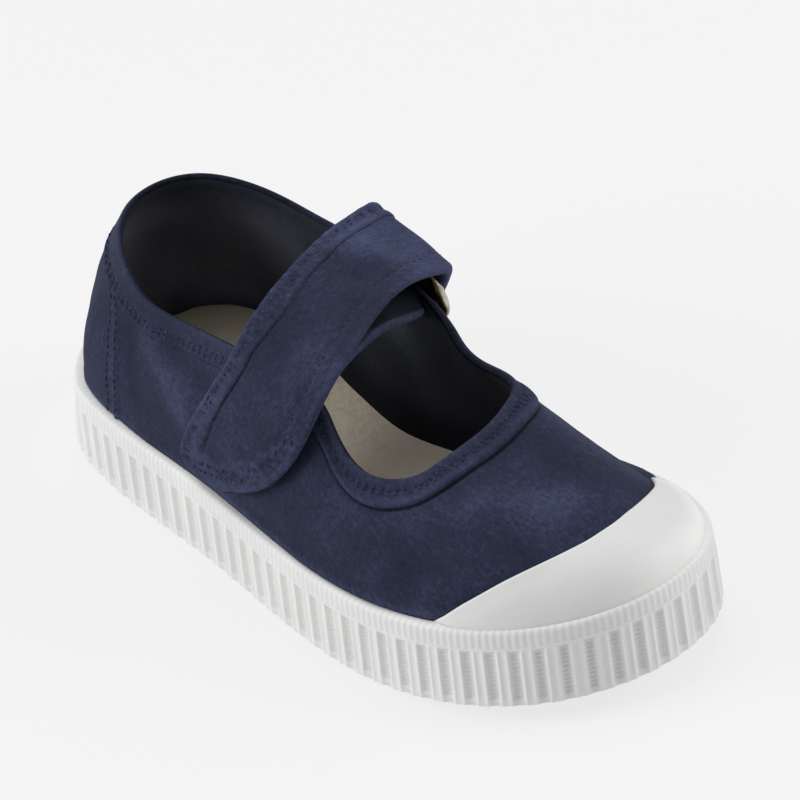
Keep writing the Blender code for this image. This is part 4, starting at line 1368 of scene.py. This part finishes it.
def stitches_strap():
    grid = STRAP_GRID
    normal = sheet_normals(grid)
    face = grid + normal * (STRAP_THICK / 2 + strap_relief(grid)[0] + 0.1)[..., None]
    start = int(np.searchsorted(STRAP_RUN, TURN_RUN - 2.0))
    outline = np.concatenate([grid[start:-1, 0], grid[-1], grid[-2:start:-1, -1]])
    at_rim = np.concatenate([normal[start:-1, 0], normal[-1], normal[-2:start:-1, -1]])
    for _ in range(ROUNDING):
        outline[1:-1] = (outline[:-2] + 2 * outline[1:-1] + outline[2:]) / 4
    flat_face, flat_normal = face.reshape(-1, 3), normal.reshape(-1, 3)
    maker = start_piece()
    count = 0
    turn = grid.shape[0] - start
    round_tip = turn + grid.shape[1] + int(TIP_HEM / STRAP_RUN[1])
    run = np.concatenate([STRAP_RUN[start:-1], np.full(grid.shape[1], STRAP_RUN[-1]),
                          STRAP_RUN[-2:start:-1]])
    width = hem_width(run)[:, None]
    rows = [(share * width, 0, round_tip, 0.56) for share in ZIGZAG]
    for inset, first, last, thick in rows + [(FRONT_ROW, round_tip + 4, len(outline), 0.36)]:
        line = inset_line(outline, at_rim, inset)[first:last]
        near = [int(np.argmin(((flat_face - p) ** 2).sum(axis=1))) for p in line]
        spots, ways = flat_face[near], flat_normal[near]
        line = line - ((line - spots) * ways).sum(axis=1, keepdims=True) * ways
        count += sew(maker, line, ways, 2.0, 2.3 * thick, thick, swing=30.0)
    print(count, "stitches in the strap")
    finish_piece("Stitches_Strap", maker, THREAD)


stitches_strap()

# %% [markdown]
# ## Floor, light and camera
#
# The shoe stands on a plain pale floor under broad soft lights, as in a catalogue. The
# floor gives off a little light of its own, which keeps it even and its shadow faint. A
# picture of a studio could light the shoe too, but three lamps are easy to move.

# %% Floor
FLOOR_DROP = 0.0002         # metres; the floor lies just clear of the sole


def pale_floor():
    maker = bmesh.new()
    bmesh.ops.create_grid(maker, x_segments=2, y_segments=2, size=6.0)
    mesh = bpy.data.meshes.new("Floor")
    maker.to_mesh(mesh)
    maker.free()
    material = new_material("Pale_Floor_Paper", Roughness=0.9, Specular_IOR_Level=0.0,
                            Base_Color=hex_colour("707070"),
                            Emission_Color=hex_colour("f4f4f4"), Emission_Strength=0.80)[0]
    mesh.materials.append(material)
    floor = bpy.data.objects.new("Floor", mesh)
    floor.location.z = -FLOOR_DROP
    bpy.context.collection.objects.link(floor)


pale_floor()

# %% Lights
def soft_light(name, place, width, power):
    """A broad soft lamp at place, pointing at the shoe."""
    lamp = bpy.data.lights.new(name, "AREA")
    lamp.shape, lamp.size, lamp.energy = "DISK", width, power
    light = bpy.data.objects.new(name, lamp)
    light.location = place
    aim = Vector((0.0, 0.0, 0.02)) - Vector(place)
    light.rotation_euler = aim.to_track_quat("-Z", "Y").to_euler()
    bpy.context.collection.objects.link(light)


LIGHTS = [
    # name, place in metres, width, power
    ("Light_Overhead", (-0.15, 0.10, 1.10), 1.0, 6.0),
    ("Light_Outer_Side", (-0.50, -0.88, 0.55), 0.8, 7.6),
    ("Light_Toe_Side", (0.62, 0.72, 0.62), 0.7, 5.7),
]
for name, place, width, power in LIGHTS:
    soft_light(name, place, width, power)

world = bpy.data.worlds.new("Studio")
world.use_nodes = True
background = world.node_tree.nodes["Background"]
background.inputs["Color"].default_value = hex_colour("f4f4f4")
background.inputs["Strength"].default_value = 0.31
bpy.context.scene.world = world
bpy.context.scene.view_settings.view_transform = "Standard"

# %% Camera
CAMERA_AZIMUTH = 54.2
CAMERA_ELEVATION = 35.83
CAMERA_ROLL = -8.38
CAMERA_DISTANCE = 1100.6
CAMERA_LENS = 234.7
CAMERA_TARGET = (77.72, 15.2, 20.0)


def catalogue_camera():
    """A long lens from the toe's outer side, looking down on the shoe, a little rolled."""
    turn, rise, roll = (math.radians(a) for a in
                        (CAMERA_AZIMUTH, CAMERA_ELEVATION, CAMERA_ROLL))
    forward = np.array([-math.sin(turn) * math.cos(rise), math.cos(turn) * math.cos(rise),
                        -math.sin(rise)])
    right = np.array([math.cos(turn), math.sin(turn), 0.0])
    up = np.cross(right, forward)
    right, up = (right * math.cos(roll) + up * math.sin(roll),
                 up * math.cos(roll) - right * math.sin(roll))
    place = (np.array(CAMERA_TARGET) - [*MIDDLE, 0.0] - forward * CAMERA_DISTANCE) * MM
    lens = bpy.data.cameras.new("Catalogue_Camera")
    lens.lens = CAMERA_LENS
    lens.sensor_width = 36.0
    lens.clip_end = 20.0
    camera = bpy.data.objects.new("Catalogue_Camera", lens)
    columns = [right, up, -forward, place]
    camera.matrix_world = Matrix([[*(float(c[k]) for c in columns)] for k in range(3)]
                                 + [[0, 0, 0, 1]])
    bpy.context.collection.objects.link(camera)
    bpy.context.scene.camera = camera
    return camera


print("camera at", catalogue_camera().location[:])
